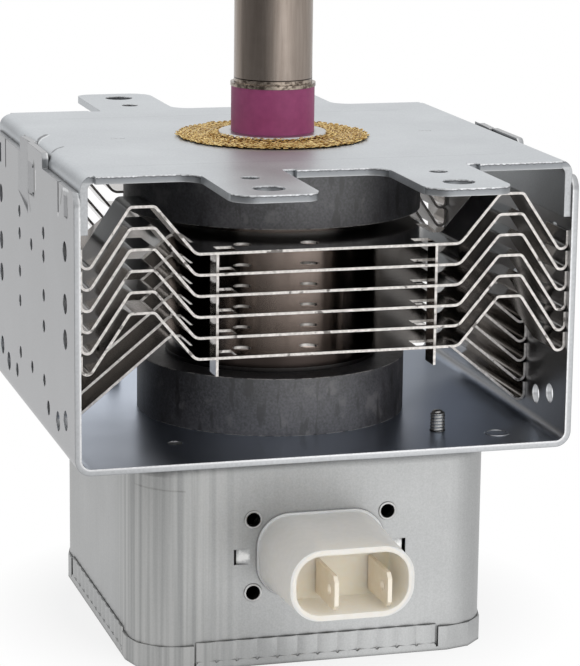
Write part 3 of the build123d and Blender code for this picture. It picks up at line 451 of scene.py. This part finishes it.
# %% Ferrite
ferrite, tree, shader, place = new_finish("sintered_ferrite", Metallic=0.0, IOR=2.0)
speckle = add(tree, "TexNoise", {"Vector": place, "Scale": cells(0.455), "Detail": 3})
smudge = add(tree, "TexNoise", {"Vector": place, "Scale": cells(11.1), "Detail": 5})
both = add(tree, "Mix", {"Factor": 0.4, "A": speckle, "B": smudge})
both = add(tree, "MapRange", {0: both, 1: 0.38, 2: 0.66})
colour = add(tree, "Mix", {"Factor": both, "A": "#232325", "B": "#515055"}, data_type="RGBA")
stains = add(tree, "TexNoise", {"Vector": place, "Scale": cells(3.85), "Detail": 6})
stains = add(tree, "MapRange", {0: stains, 1: 0.58, 2: 0.68, 4: 0.5})
colour = add(tree, "Mix", {"Factor": stains, "A": colour, "B": "#6C6A6B"}, data_type="RGBA")
hanging = add(tree, "Mapping", {"Vector": place, "Scale": (1, 1, 0.25)})
drips = add(tree, "TexNoise", {"Vector": hanging, "Scale": cells(1.61), "Detail": 6})
drips = add(tree, "MapRange", {0: drips, 1: 0.56, 2: 0.63, 4: 0.8})
colour = add(tree, "Mix", {"Factor": drips, "A": colour, "B": "#1B1A1A"}, data_type="RGBA")
normal, near = soft_edges(tree, 0.35)
chips = add(tree, "TexNoise", {"Vector": place, "Scale": cells(1.43), "Detail": 4})
chips = add(tree, "MapRange", {0: chips, 1: 0.42, 2: 0.52})
chipped = add(tree, "Math", {0: near, 1: chips}, operation="MULTIPLY")
colour = add(tree, "Mix", {"Factor": chipped, "A": colour, "B": "#B8B5B2"}, data_type="RGBA")
relief = {"Height": speckle, "Strength": 0.25, "Distance": 0.1 * MM, "Normal": normal}
relief = add(tree, "Bump", relief)
shine = add(tree, "MapRange", {0: smudge, 3: 0.4, 4: 0.6})
fill(tree, shader, {"Base Color": colour, "Roughness": shine, "Normal": relief})
wear(ferrite, "lower_magnet", "upper_magnet", "left_ferrite_rod", "right_ferrite_rod")

# %% [markdown]
# ## Copper
# The anode was brazed in a furnace, which leaves the copper dull and brownish grey. The leads,
# the chokes and the pump tube are plain drawn copper. Both are one recipe with other shades: a
# noise stretched upright for the soft bands that heat leaves, and painted shade that turns them
# almost black below the height of the anode's foot.

# %% Copper
FOOT_SHADE_FROM, FOOT_SHADE_TO = 57.5 * MM, 55 * MM


def copper(name, light, dark, roughness):
    """Copper between two shades, in soft bands up the part, and painted shade, almost black, below
    the height of the anode's foot.
    """
    finish, tree, shader, place = new_finish(name, Metallic=1.0)
    banded = add(tree, "Mapping", {"Vector": place, "Scale": (1, 1, 0.15)})
    stain = add(tree, "TexNoise", {"Vector": banded, "Scale": cells(4.17), "Detail": 4})
    metal = add(tree, "Mix", {"Factor": stain, "A": dark, "B": light}, data_type="RGBA")
    z = add(tree, "SeparateXYZ", {"Vector": place}).outputs["Z"]
    # Painted shade: almost black below the height of the anode's foot.
    foot_shade = add(tree, "MapRange", {0: z, 1: FOOT_SHADE_FROM, 2: FOOT_SHADE_TO})
    metal = add(tree, "Mix", {"Factor": foot_shade, "A": metal, "B": "#3A3330"}, data_type="RGBA")
    shine = add(tree, "MapRange", {0: stain, 3: roughness - 0.05, 4: roughness + 0.05})
    fill(tree, shader, {"Base Color": metal, "Roughness": shine})
    return finish


furnace_copper = copper("furnace_brazed_copper", "#D2C4BC", "#A2958E", 0.2)
vanes = sorted(name for name in solids if name.startswith("anode_vane"))
straps = sorted(name for name in solids if name.endswith("_strap"))
wear(furnace_copper, "anode_cylinder", *vanes, *straps)
drawn_copper = copper("drawn_copper", "#C98B68", "#A8694A", 0.25)
wear(drawn_copper, "antenna_lead", "exhaust_tube", "left_choke_coil", "right_choke_coil")

# %% [markdown]
# ## Cathode
# The filament, its two hats and its leads are tungsten and molybdenum, drawn and swaged: dark
# grey metals with a fine satin grain, so they take the grained metal's recipe.

# %% Tungsten
tungsten = grained_metal("drawn_tungsten", "#6A6C70", "#4C4E52", 0.35, 0.3, 0.05)[0]
wear(tungsten, "cathode_filament", "upper_end_hat", "lower_end_hat", "centre_lead", "side_lead")

# %% [markdown]
# ## Ceramics
# The ring under the cap is alumina, coloured purple and left matt, so it takes the light softly.
# The stem's is white. A ceramic is not see-through enough here to need light that goes in, so a
# faint mottle and a slight bump on a matt shader are all that the eye gets from it.

# %% Alumina
def alumina(name, light, dark, ior):
    """Fired alumina: a matt ceramic with a faint mottle between two shades."""
    finish, tree, shader, place = new_finish(name, Roughness=0.5, IOR=ior)
    mottle = add(tree, "TexNoise", {"Vector": place, "Scale": cells(1.43), "Detail": 4})
    colour = add(tree, "Mix", {"Factor": mottle, "A": dark, "B": light}, data_type="RGBA")
    relief = add(tree, "Bump", {"Height": mottle, "Strength": 0.15, "Distance": 0.1 * MM})
    fill(tree, shader, {"Base Color": colour, "Normal": relief})
    return finish


wear(alumina("purple_alumina", "#97406F", "#7C2B58", 1.5), "output_ceramic")
wear(alumina("white_alumina", "#EFEBE4", "#DAD5CB", 1.7), "stem_ceramic")

# %% [markdown]
# ## Antenna cap
# The cap is drawn steel, bright and a little brown: the drawing left fine upright lines, handling
# left scuffs near its top, and the brazing heat stained its rim below a thin dark seam. All of
# these go by height, so the height switches from one to the next.

# %% Drawn steel
CAP_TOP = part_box("antenna_cap")[1][2]
CAP_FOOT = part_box("output_ceramic")[1][2]
SCUFFS_FROM, SCUFFS_FULL = CAP_TOP - 3.2 * MM, CAP_TOP - 1.6 * MM
RIM_TOP, SEAM_HEIGHT, SEAM_HALF = CAP_FOOT + 1.5 * MM, CAP_FOOT + 1.55 * MM, 0.1 * MM

cap_steel, tree, shader, place = new_finish("drawn_bright_steel", Metallic=1.0)
upright = add(tree, "Mapping", {"Vector": place, "Scale": (1, 1, 0.06)})
lines = add(tree, "TexNoise", {"Vector": upright, "Scale": cells(0.667), "Detail": 3})
colour = add(tree, "Mix", {"Factor": lines, "A": "#857970", "B": "#AA9F96"}, data_type="RGBA")
z = add(tree, "SeparateXYZ", {"Vector": place}).outputs["Z"]
blotch = add(tree, "TexNoise", {"Vector": place, "Scale": cells(1.67), "Detail": 5})
scuffs = add(tree, "MapRange", {0: blotch, 1: 0.42, 2: 0.6})
high = add(tree, "MapRange", {0: z, 1: SCUFFS_FROM, 2: SCUFFS_FULL})
scuffs = add(tree, "Math", {0: high, 1: scuffs}, operation="MULTIPLY")
colour = add(tree, "Mix", {"Factor": scuffs, "A": colour, "B": "#786D65"}, data_type="RGBA")
spots = add(tree, "TexNoise", {"Vector": place, "Scale": cells(0.91), "Detail": 3})
spots = add(tree, "MapRange", {0: spots, 1: 0.38, 2: 0.58})
rim = add(tree, "Mix", {"Factor": spots, "A": "#62574E", "B": "#B2A598"}, data_type="RGBA")
stained = add(tree, "MapRange", {0: z, 1: RIM_TOP, 2: RIM_TOP - 0.2 * MM})
colour = add(tree, "Mix", {"Factor": stained, "A": colour, "B": rim}, data_type="RGBA")
seam = add(tree, "Math", {0: z, 1: SEAM_HEIGHT, 2: SEAM_HALF}, operation="COMPARE")
colour = add(tree, "Mix", {"Factor": seam, "A": colour, "B": "#2E2621"}, data_type="RGBA")
shine = add(tree, "MapRange", {0: blotch, 3: 0.19, 4: 0.3})
fill(tree, shader, {"Base Color": colour, "Roughness": shine})
wear(cap_steel, "antenna_cap", "exhaust_cup")

# %% [markdown]
# ## Connector
# The connector is moulded in cream polyester: matt, a little translucent, with the faint mottle
# of its glass filling. Inside the shell its colour is a brighter, warmer cream, painted light for
# the light that goes in and comes back out, and its outside is a greyer cream. One shader with
# subsurface light can't tell the two apart, so the distance to the middle of the rounded oblong
# does.

# %% Moulded polyester
CONNECTOR_X, CONNECTOR_Z = 0.4, 21.1
HALF_CORE_X, HALF_CORE_Z, SHELL_OUTSIDE, SHELL_INSIDE = 4.9 * MM, 0.5 * MM, 6.4 * MM, 6.0 * MM

polyester, tree, shader, place = new_finish(
    "moulded_cream_polyester", Roughness=0.5, IOR=1.5, Subsurface_Weight=0.6,
    Subsurface_Radius=(1.0, 0.9, 0.75), Subsurface_Scale=0.003)
mottle = add(tree, "TexNoise", {"Vector": place, "Scale": cells(1.11), "Detail": 4})
outside = add(tree, "Mix", {"Factor": mottle, "A": "#E2E0DB", "B": "#EEECE8"}, data_type="RGBA")
# Painted light: inside the shell the cream is brighter and warmer.
inside = add(tree, "Mix", {"Factor": mottle, "A": "#FFF3E2", "B": "#FFFBF2"}, data_type="RGBA")
# The distance is |max(|p - middle| - half core, 0)|, in X and Z alone.
middle, core = (CONNECTOR_X * MM, 0, CONNECTOR_Z * MM), (HALF_CORE_X, 0, HALF_CORE_Z)
away = add(tree, "VectorMath", {0: place, 1: middle}, operation="SUBTRACT")
away = add(tree, "VectorMath", {0: away, 1: (1, 0, 1)}, operation="MULTIPLY")
away = add(tree, "VectorMath", {0: away}, operation="ABSOLUTE")
away = add(tree, "VectorMath", {0: away, 1: core}, operation="SUBTRACT")
away = add(tree, "VectorMath", {0: away, 1: (0, 0, 0)}, operation="MAXIMUM")
away = add(tree, "VectorMath", {0: away}, operation="LENGTH").outputs["Value"]
within = add(tree, "MapRange", {0: away, 1: SHELL_OUTSIDE, 2: SHELL_INSIDE})
colour = add(tree, "Mix", {"Factor": within, "A": outside, "B": inside}, data_type="RGBA")
fill(tree, shader, {"Base Color": colour})
wear(polyester, "connector_housing")

# %% [markdown]
# ## Blades
# The connector's blades are brass with a dull coat of tin. The coat is thin and smeared, so the
# metal reads as half covered: a low metallic value and a mottle of two pale creams.

# %% Tinned brass
tinned_brass, tree, shader, place = new_finish("tinned_brass", Metallic=0.3, Roughness=0.45)
smear = add(tree, "TexNoise", {"Vector": place, "Scale": cells(2), "Detail": 4})
colour = add(tree, "Mix", {"Factor": smear, "A": "#EADFCA", "B": "#F8F2E6"}, data_type="RGBA")
fill(tree, shader, {"Base Color": colour})
wear(tinned_brass, "left_terminal", "right_terminal")

# %% [markdown]
# ## New surfaces
# Three details are finer than the CAD model's solids: the knitted gasket, the threads and the
# rolled rims. Each is a grid of points worked out by a formula as whole arrays. The rows of a
# grid run along the piece and close or stay open, its columns run round it and always close,
# and every piece rides on the body.

# %% Surfaces from grids
def new_piece(name, points, faces, finish):
    """A smooth mesh on the body from points in mm, closed at its poles and facing outwards."""
    mesh = bpy.data.meshes.new(name)
    mesh.from_pydata((points * MM).tolist(), [], faces.tolist())
    whole = bmesh.new()
    whole.from_mesh(mesh)
    bmesh.ops.remove_doubles(whole, verts=whole.verts, dist=1e-6)
    bmesh.ops.recalc_face_normals(whole, faces=whole.faces)
    whole.to_mesh(mesh)
    whole.free()
    mesh.polygons.foreach_set("use_smooth", np.ones(len(mesh.polygons), bool))
    mesh.materials.append(finish)
    piece = bpy.data.objects.new(name, mesh)
    bpy.context.scene.collection.objects.link(piece)
    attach(piece, "root")
    print(name, "has faces:", len(mesh.polygons))
    return piece


def grid_faces(rows, columns, closed_rows):
    """The four-sided faces of a grid of rows x columns points, closed along its columns."""
    firsts = np.arange(rows if closed_rows else rows - 1)
    i, j = np.meshgrid(firsts, np.arange(columns), indexing="ij")
    k, m = (i + 1) % rows, (j + 1) % columns
    quads = (i * columns + j, i * columns + m, k * columns + m, k * columns + j)
    return np.stack(quads, axis=-1).reshape(-1, 4)


def joined(grids, closed_rows):
    """The points and faces of several grids, one after another."""
    starts = np.cumsum([0] + [grid.shape[0] * grid.shape[1] for grid in grids[:-1]])
    faces = [grid_faces(*grid.shape[:2], closed_rows) + start for grid, start in zip(grids, starts)]
    return np.concatenate([grid.reshape(-1, 3) for grid in grids]), np.concatenate(faces)


def wire(line, radius, sides):
    """A round wire on a closed line: line + radius (cos a side + sin a up), side = run x Z."""
    run = np.roll(line, -1, axis=0) - np.roll(line, 1, axis=0)
    run /= np.linalg.norm(run, axis=1, keepdims=True)
    side = np.cross(run, (0, 0, 1.0))
    side /= np.linalg.norm(side, axis=1, keepdims=True)
    up = np.cross(side, run)
    a = np.linspace(0, 2 * pi, sides, endpoint=False)[None, :, None]
    return line[:, None, :] + radius * (np.cos(a) * side[:, None, :] + np.sin(a) * up[:, None, :])


# %% [markdown]
# ## Gasket
# The ring round the collar is a sleeve of knitted brass wire, pressed flat, and it closes the
# gap to the oven so that no waves leak out. A flat ring with a bump would show no stitch against
# the light, so each row of loops is a real wire: a closed line that swings in and out and leans
# back on itself, with a small round section. Two layers with a little disorder make the
# crumpled gold ring, two more rows climb the collar, and a thin bed closes the gaps below.

# %% Stitches
WIRE_RADIUS, WIRE_SIDES, STEPS = 0.12, 4, 10
STITCH, SWING, LEAN, DIP = 1.35, 0.66, 0.3, 0.14
CRUMPLED_ALONG, CRUMPLED_OUT, CRUMPLED_UP = 0.12, 0.18, 0.07


def stitches(radius, height, disorder):
    """One closed row of knitted loops, with u the phase of the stitches.

    The line swings in and out by cos(u), leans back on itself by sin(2u), which makes the loop
    round, and rises and falls by cos(2u), so that a loop goes over its neighbour. A seeded
    wander, smooth from stitch to stitch, crumples the row.
    """
    count = int(2 * pi * radius / STITCH)
    u = np.arange(count * STEPS) * 2 * pi / STEPS
    knots = disorder.normal(0, 1, (3, count))
    along, out, up = (
        np.interp(u / (2 * pi), np.arange(count + 1), [*knot, knot[0]]) for knot in knots)
    angle = u / count + (LEAN * np.sin(2 * u) + CRUMPLED_ALONG * along) / radius
    reach = radius + SWING * np.cos(u) + CRUMPLED_OUT * out
    z = height + DIP * np.cos(2 * u) + CRUMPLED_UP * up
    return np.stack((reach * np.cos(angle), reach * np.sin(angle), z), axis=1)


# %% Knitted gasket
FIRST_ROW, LAST_ROW, ROW_GAP, LAYERS = 11.5, 17.6, 0.82, (0.2, 0.42)
COLLAR_ROWS = ((11.5, 0.6), (11.0, 0.85))
BED_PROFILE = np.array([(11.1, 0.02), (17.5, 0.02), (17.7, 0.07), (17.5, 0.12), (11.1, 0.12)])
BED_STEPS = 180
GASKET_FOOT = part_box("rf_gasket")[0][2] / MM
GASKET_HEIGHT = 0.7
COLLAR_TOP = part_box("upper_sealing_can")[1][2] / MM

disorder = np.random.default_rng(7)
rows = []
for layer in LAYERS:
    for radius in np.arange(FIRST_ROW, LAST_ROW, ROW_GAP) + layer:
        line = stitches(radius, GASKET_FOOT + layer, disorder)
        lowest, highest = GASKET_FOOT + WIRE_RADIUS, GASKET_FOOT + GASKET_HEIGHT - WIRE_RADIUS
        line[:, 2] = np.clip(line[:, 2], lowest, highest)
        rows.append(wire(line, WIRE_RADIUS, WIRE_SIDES))
for radius, rise in COLLAR_ROWS:
    line = stitches(radius, GASKET_FOOT + rise, disorder)
    line[:, 2] = np.minimum(line[:, 2], COLLAR_TOP + 3 * WIRE_RADIUS)
    rows.append(wire(line, WIRE_RADIUS, WIRE_SIDES))
# The bed is its profile of reach and height, turned about Z.
turn = np.linspace(0, 2 * pi, BED_STEPS, endpoint=False)[:, None]
reach, height = BED_PROFILE.T
height = np.broadcast_to(height + GASKET_FOOT, (BED_STEPS, len(height)))
rows.append(np.stack((reach * np.cos(turn), reach * np.sin(turn), height), axis=-1))
gasket_points, gasket_faces = joined(rows, True)
print("rows of wire:", len(rows) - 1)

# %% [markdown]
# ## Brass wire
# Drawn brass is yellow and bright, and each wire mirrors something else, so a shade that changes
# every mm or so breaks up the gold. Little light gets in between the layers, which an exported
# model would lose, so the wire also darkens with its depth.

# %% Brass wire
DEEP_FROM, DEEP_TO = (GASKET_FOOT + 0.34) * MM, (GASKET_FOOT + 0.14) * MM

brass, tree, shader, place = new_finish("knitted_brass_wire", Metallic=1.0, Roughness=0.2)
shade = add(tree, "TexNoise", {"Vector": place, "Scale": cells(1.11), "Detail": 3})
shade = add(tree, "MapRange", {0: shade, 1: 0.35, 2: 0.65})
colour = add(tree, "Mix", {"Factor": shade, "A": "#A87E3A", "B": "#FBE0A0"}, data_type="RGBA")
z = add(tree, "SeparateXYZ", {"Vector": place}).outputs["Z"]
deep = add(tree, "MapRange", {0: z, 1: DEEP_FROM, 2: DEEP_TO})
colour = add(tree, "Mix", {"Factor": deep, "A": colour, "B": "#3A2A12"}, data_type="RGBA")
fill(tree, shader, {"Base Color": colour})
knitted = new_piece("knitted_gasket", gasket_points, gasket_faces, brass)
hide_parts("rf_gasket")

# %% [markdown]
# ## Screws
# Two screws hold the box to the yoke, and their threads stick out of the yoke's floor. A thread
# could be a profile carried along a helix and joined to a rod. It is simpler as one surface: the
# radius falls and rises with the turn and the height together, so a single grid in the two
# makes the whole spiral, with a domed end and a plain head below.

# %% Threaded screws
SCREW_RADIUS, THREAD_PITCH, THREAD_DEPTH, THREAD_START = 1.45, 0.6, 0.24, 0.6
TIP, TIP_NARROWING, TIP_POWER = 0.9, 0.55, 2.2
HEAD_RADIUS, HEAD_HEIGHT, HEAD_CHAMFER = 2.8, 1.8, 0.15
HEAD_REACHES = np.array([0, 0.93, 1, 1, 0.93])[:, None] * HEAD_RADIUS
SCREW_SIDES, STEPS_PER_PITCH = 40, 8


def threaded_screw(x, y, foot, top):
    """A screw: radius - depth |2 frac(z / pitch - angle / 2 pi) - 1|, rounded in at its end."""
    angle = np.linspace(0, 2 * pi, SCREW_SIDES, endpoint=False)
    neck, step = foot + HEAD_HEIGHT, THREAD_PITCH / STEPS_PER_PITCH
    head = [foot, foot, foot + HEAD_CHAMFER, neck - HEAD_CHAMFER, neck]
    z = np.concatenate((head, [neck], np.arange(neck + step, top, step), [top, top]))
    z, turn = np.meshgrid(z, angle, indexing="ij")
    groove = np.abs(2 * np.mod(z / THREAD_PITCH - turn / (2 * pi), 1) - 1)
    reach = SCREW_RADIUS - THREAD_DEPTH * groove * np.clip((z - neck) / THREAD_START, 0, 1)
    reach *= 1 - TIP_NARROWING * np.clip((z - (top - TIP)) / TIP, 0, 1) ** TIP_POWER
    reach[:5] = HEAD_REACHES
    reach[-1] = 0
    return np.stack((x + reach * np.cos(turn), y + reach * np.sin(turn), z), axis=-1)


low, high = (np.array(corner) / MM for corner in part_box("box_screws"))
places = (
    (high[0] - HEAD_RADIUS, low[1] + HEAD_RADIUS), (low[0] + HEAD_RADIUS, high[1] - HEAD_RADIUS))
points, faces = joined([threaded_screw(x, y, low[2], high[2]) for x, y in places], False)
threaded = new_piece("threaded_screws", points, faces, plated_steel)
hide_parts("box_screws")

# %% [markdown]
# ## Eyelets
# Four hollow rivets hold the filter capacitor to the box. Each is rolled over at the front into
# a thin bright ring, which is a torus pressed a little flat, so its two angles are its grid.

# %% Rolled eyelet rims
EYELET_X, EYELET_Z, RIM_RADIUS, ROLL_RADIUS, FLATTENED = 12.95, 7.0, 1.56, 0.19, 0.7
RIM_STEPS, ROLL_STEPS = 48, 10
RIM_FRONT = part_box("filter_box")[0][1] / MM - 0.05


def eyelet_rim(side, rise):
    """A flattened torus round Y: reach = rim + roll cos b, and flattened roll sin b along Y."""
    a, b = np.meshgrid(
        *(np.linspace(0, 2 * pi, steps, endpoint=False) for steps in (RIM_STEPS, ROLL_STEPS)),
        indexing="ij")
    reach = RIM_RADIUS + ROLL_RADIUS * np.cos(b)
    return np.stack((
        CONNECTOR_X + side * EYELET_X + reach * np.cos(a),
        RIM_FRONT - FLATTENED * ROLL_RADIUS * np.sin(b),
        CONNECTOR_Z + rise * EYELET_Z + reach * np.sin(a)), axis=-1)


points, faces = joined([eyelet_rim(side, rise) for side in (-1, 1) for rise in (-1, 1)], True)
rim_steel = grained_metal("rolled_tinned_steel", "#C9C9C8", "#B4B4B3", 0.3, 0.25, 0.05)[0]
new_piece("eyelet_rims", points, faces, rim_steel)

# %% [markdown]
# ## Floor and light
# The object stands on a white floor. Far from it, and in the world behind, the camera sees plain
# white, and near it the floor keeps its soft shadow. Bare metal shows what stands round the
# table, so its reflections get what a photographer puts there: a bright strip at the front
# right, a black flag at the left and plain white behind. Real cards would stand in other views,
# so they are one ring of light and dark round the compass, which only shiny surfaces see.

# %% The rings of light that metal sees
TABLE_RING = (
    (0.0, 0.95), (0.12, 0.75), (0.18, 0.3), (0.29, 0.2), (0.39, 0.22), (0.456, 0.56),
    (0.51, 1.35), (0.56, 1.65), (0.61, 1.2), (0.65, 0.95), (0.82, 0.75), (1.0, 0.95))
SKY_RING = (
    (0.0, 0.8), (0.035, 0.42), (0.09, 0.42), (0.12, 0.75), (0.18, 0.3), (0.29, 0.2), (0.39, 0.22),
    (0.456, 0.5), (0.51, 0.72), (0.61, 0.75), (0.65, 0.75), (0.82, 0.7), (1.0, 0.95))
BRIGHTEST = 1.65


def ring_level(tree, way, ring):
    """How bright a ring is in a direction: a ramp over the compass angle atan2(x, -y), which is
    0.5 at the front. A ramp holds no more than 1, so it is filled and then scaled by the
    brightest level."""
    at = add(tree, "SeparateXYZ", {"Vector": way})
    front = add(tree, "Math", {0: at.outputs["Y"], 1: -1.0}, operation="MULTIPLY")
    angle = add(tree, "Math", {0: at.outputs["X"], 1: front}, operation="ARCTAN2")
    ramp = add(tree, "ValToRGB", {"Fac": add(tree, "MapRange", {0: angle, 1: -pi, 2: pi})})
    stops = ramp.color_ramp.elements
    while len(stops) < len(ring):
        stops.new(0.5)
    for stop, (position, level) in zip(stops, ring):
        stop.position = position
        stop.color = (level / BRIGHTEST, level / BRIGHTEST, level / BRIGHTEST, 1)
    return add(tree, "Math", {0: ramp, 1: BRIGHTEST}, operation="MULTIPLY")


def seen_by(tree):
    """Two masks for a ray: sent by the camera or through glass, and sent by a shiny surface."""
    rays = add(tree, "LightPath").outputs
    straight = {0: rays["Is Camera Ray"], 1: rays["Is Transmission Ray"]}
    return add(tree, "Math", straight, operation="MAXIMUM"), rays["Is Glossy Ray"]


print("stops in the rings:", len(TABLE_RING), "and", len(SKY_RING))

# %% Floor
FLOOR_REACH, SHADOW_WITHIN, PLAIN_BEYOND, SHADOW_SHARE = 4.0, 0.04, 0.06, 0.8
NEAR_TABLE, TABLE_WITHIN, RING_BEYOND = 0.9, 0.2, 0.4

floor_mesh = bpy.data.meshes.new("floor")
ends = ((-1, -1), (1, -1), (1, 1), (-1, 1))
floor_mesh.from_pydata([(x * FLOOR_REACH, y * FLOOR_REACH, 0) for x, y in ends], [], [(0, 1, 2, 3)])
floor = bpy.data.objects.new("floor", floor_mesh)
bpy.context.scene.collection.objects.link(floor)
paper = bpy.data.materials.new("white_paper")
paper.use_nodes = True
tree = paper.node_tree
tree.nodes.clear()
place = add(tree, "TexCoord").outputs["Object"]
away = add(tree, "VectorMath", {0: place}, operation="LENGTH").outputs["Value"]
direct, shiny = seen_by(tree)
ring = ring_level(tree, place, TABLE_RING)
table = add(tree, "Math", {0: ring, 1: NEAR_TABLE}, operation="MAXIMUM")
far = add(tree, "MapRange", {0: away, 1: TABLE_WITHIN, 2: RING_BEYOND})
ring = add(tree, "Mix", {"Factor": far, "A": table, "B": ring})
level = add(tree, "Math", {0: shiny, 1: ring, 2: direct}, operation="MULTIPLY_ADD")
plain = {0: away, 1: SHADOW_WITHIN, 2: PLAIN_BEYOND, 3: SHADOW_SHARE, 4: 1.0}
plain = add(tree, "MapRange", plain)
seen = add(tree, "Math", {0: direct, 1: shiny}, operation="MAXIMUM")
share = add(tree, "Math", {0: seen, 1: plain}, operation="MULTIPLY")
matt = add(tree, "BsdfDiffuse", {"Color": "#F4F4F4"})
white = add(tree, "Emission", {"Color": "#FFFFFF", "Strength": level})
mixed = add(tree, "MixShader", {0: share, 1: matt, 2: white})
add(tree, "OutputMaterial", {"Surface": mixed})
floor_mesh.materials.append(paper)
print("the floor reaches:", FLOOR_REACH, "m")

# %% [markdown]
# ## World
# Matt surfaces get an even, weak light from all round, the camera sees plain white, and metal
# sees the ring at the height of the eye and open sky above it.

# %% World
OPEN_SKY, SKY_ON_MATT, RING_BELOW, SKY_ABOVE = 1.0, 0.55, 0.18, 0.42

world = bpy.data.worlds.new("studio")
bpy.context.scene.world = world
world.use_nodes = True
tree = world.node_tree
tree.nodes.clear()
way = add(tree, "TexCoord").outputs["Generated"]
direct, shiny = seen_by(tree)
up = add(tree, "SeparateXYZ", {"Vector": way}).outputs["Z"]
high = add(tree, "MapRange", {0: up, 1: RING_BELOW, 2: SKY_ABOVE})
above = add(tree, "Mix", {"Factor": high, "A": ring_level(tree, way, SKY_RING), "B": OPEN_SKY})
seen = add(tree, "Math", {0: direct, 1: shiny}, operation="MAXIMUM")
level = add(tree, "Mix", {"Factor": shiny, "A": direct, "B": above})
level = add(tree, "Mix", {"Factor": seen, "A": SKY_ON_MATT, "B": level})
sky = add(tree, "Background", {"Color": "#FFFFFF", "Strength": level})
add(tree, "OutputWorld", {"Surface": sky})
print("light from the sky on matt surfaces:", SKY_ON_MATT)

# %% [markdown]
# ## Lamps
# Three large soft lamps shape the matt forms: a key at the front right, a fill at the left and a
# low one at the front that opens the shadows in the box's face. The two in front would burn out
# flat metal seen from behind, so metal doesn't see them and keeps to the ring.

# %% Lamps
def soft_lamp(name, place, aim, size, power, on_metal):
    """A square area lamp at a place, turned to a point, both in metres. Metal may not see it."""
    data = bpy.data.lights.new(name, "AREA")
    data.size = size
    data.energy = power
    lamp = bpy.data.objects.new(name, data)
    way = (Vector(place) - Vector(aim)).to_track_quat("Z", "Y")
    lamp.matrix_world = Matrix.Translation(place) @ way.to_matrix().to_4x4()
    lamp.visible_glossy = on_metal
    bpy.context.scene.collection.objects.link(lamp)
    print(name, "gives:", power, "W")


soft_lamp("key", (0.45, -0.75, 0.55), (0, 0, 0.06), 1.15, 4.4, False)
soft_lamp("fill", (-0.8, 0.1, 0.5), (0, 0, 0.06), 0.5, 0.8, True)
soft_lamp("front_fill", (0.1, -1.0, 0.2), (0, 0, 0.04), 0.4, 1.1, False)

# %% [markdown]
# ## Card
# At the right, the inside of the yoke and the faces of the fins mirror what stands behind the
# object, and plain white there would wash them out. A grey card keeps them darker. It faces the
# front, and only shiny surfaces see it.

# %% Grey card
CARD_FOOT, CARD_WIDTH, CARD_HEIGHT, CARD_LEVEL = Vector((0.018, 0.11, 0.028)), 0.075, 0.064, 0.3

card_mesh = bpy.data.meshes.new("back_card")
across, rise = Vector((CARD_WIDTH, 0, 0)), Vector((0, 0, CARD_HEIGHT))
corners = [CARD_FOOT, CARD_FOOT + across, CARD_FOOT + across + rise, CARD_FOOT + rise]
card_mesh.from_pydata(corners, [], [(0, 1, 2, 3)])
card = bpy.data.objects.new("back_card", card_mesh)
bpy.context.scene.collection.objects.link(card)
felt, tree, shader, place = new_finish(
    "back_card_felt", Base_Color="#0C0C0C", Emission_Color="#FFFFFF", Emission_Strength=CARD_LEVEL)
card_mesh.materials.append(felt)
card.visible_camera = False
card.visible_diffuse = False
card.visible_shadow = False
card.visible_transmission = False
bpy.context.scene.view_settings.view_transform = "Standard"
print("the card stands at:", [round(length, 3) for length in CARD_FOOT])
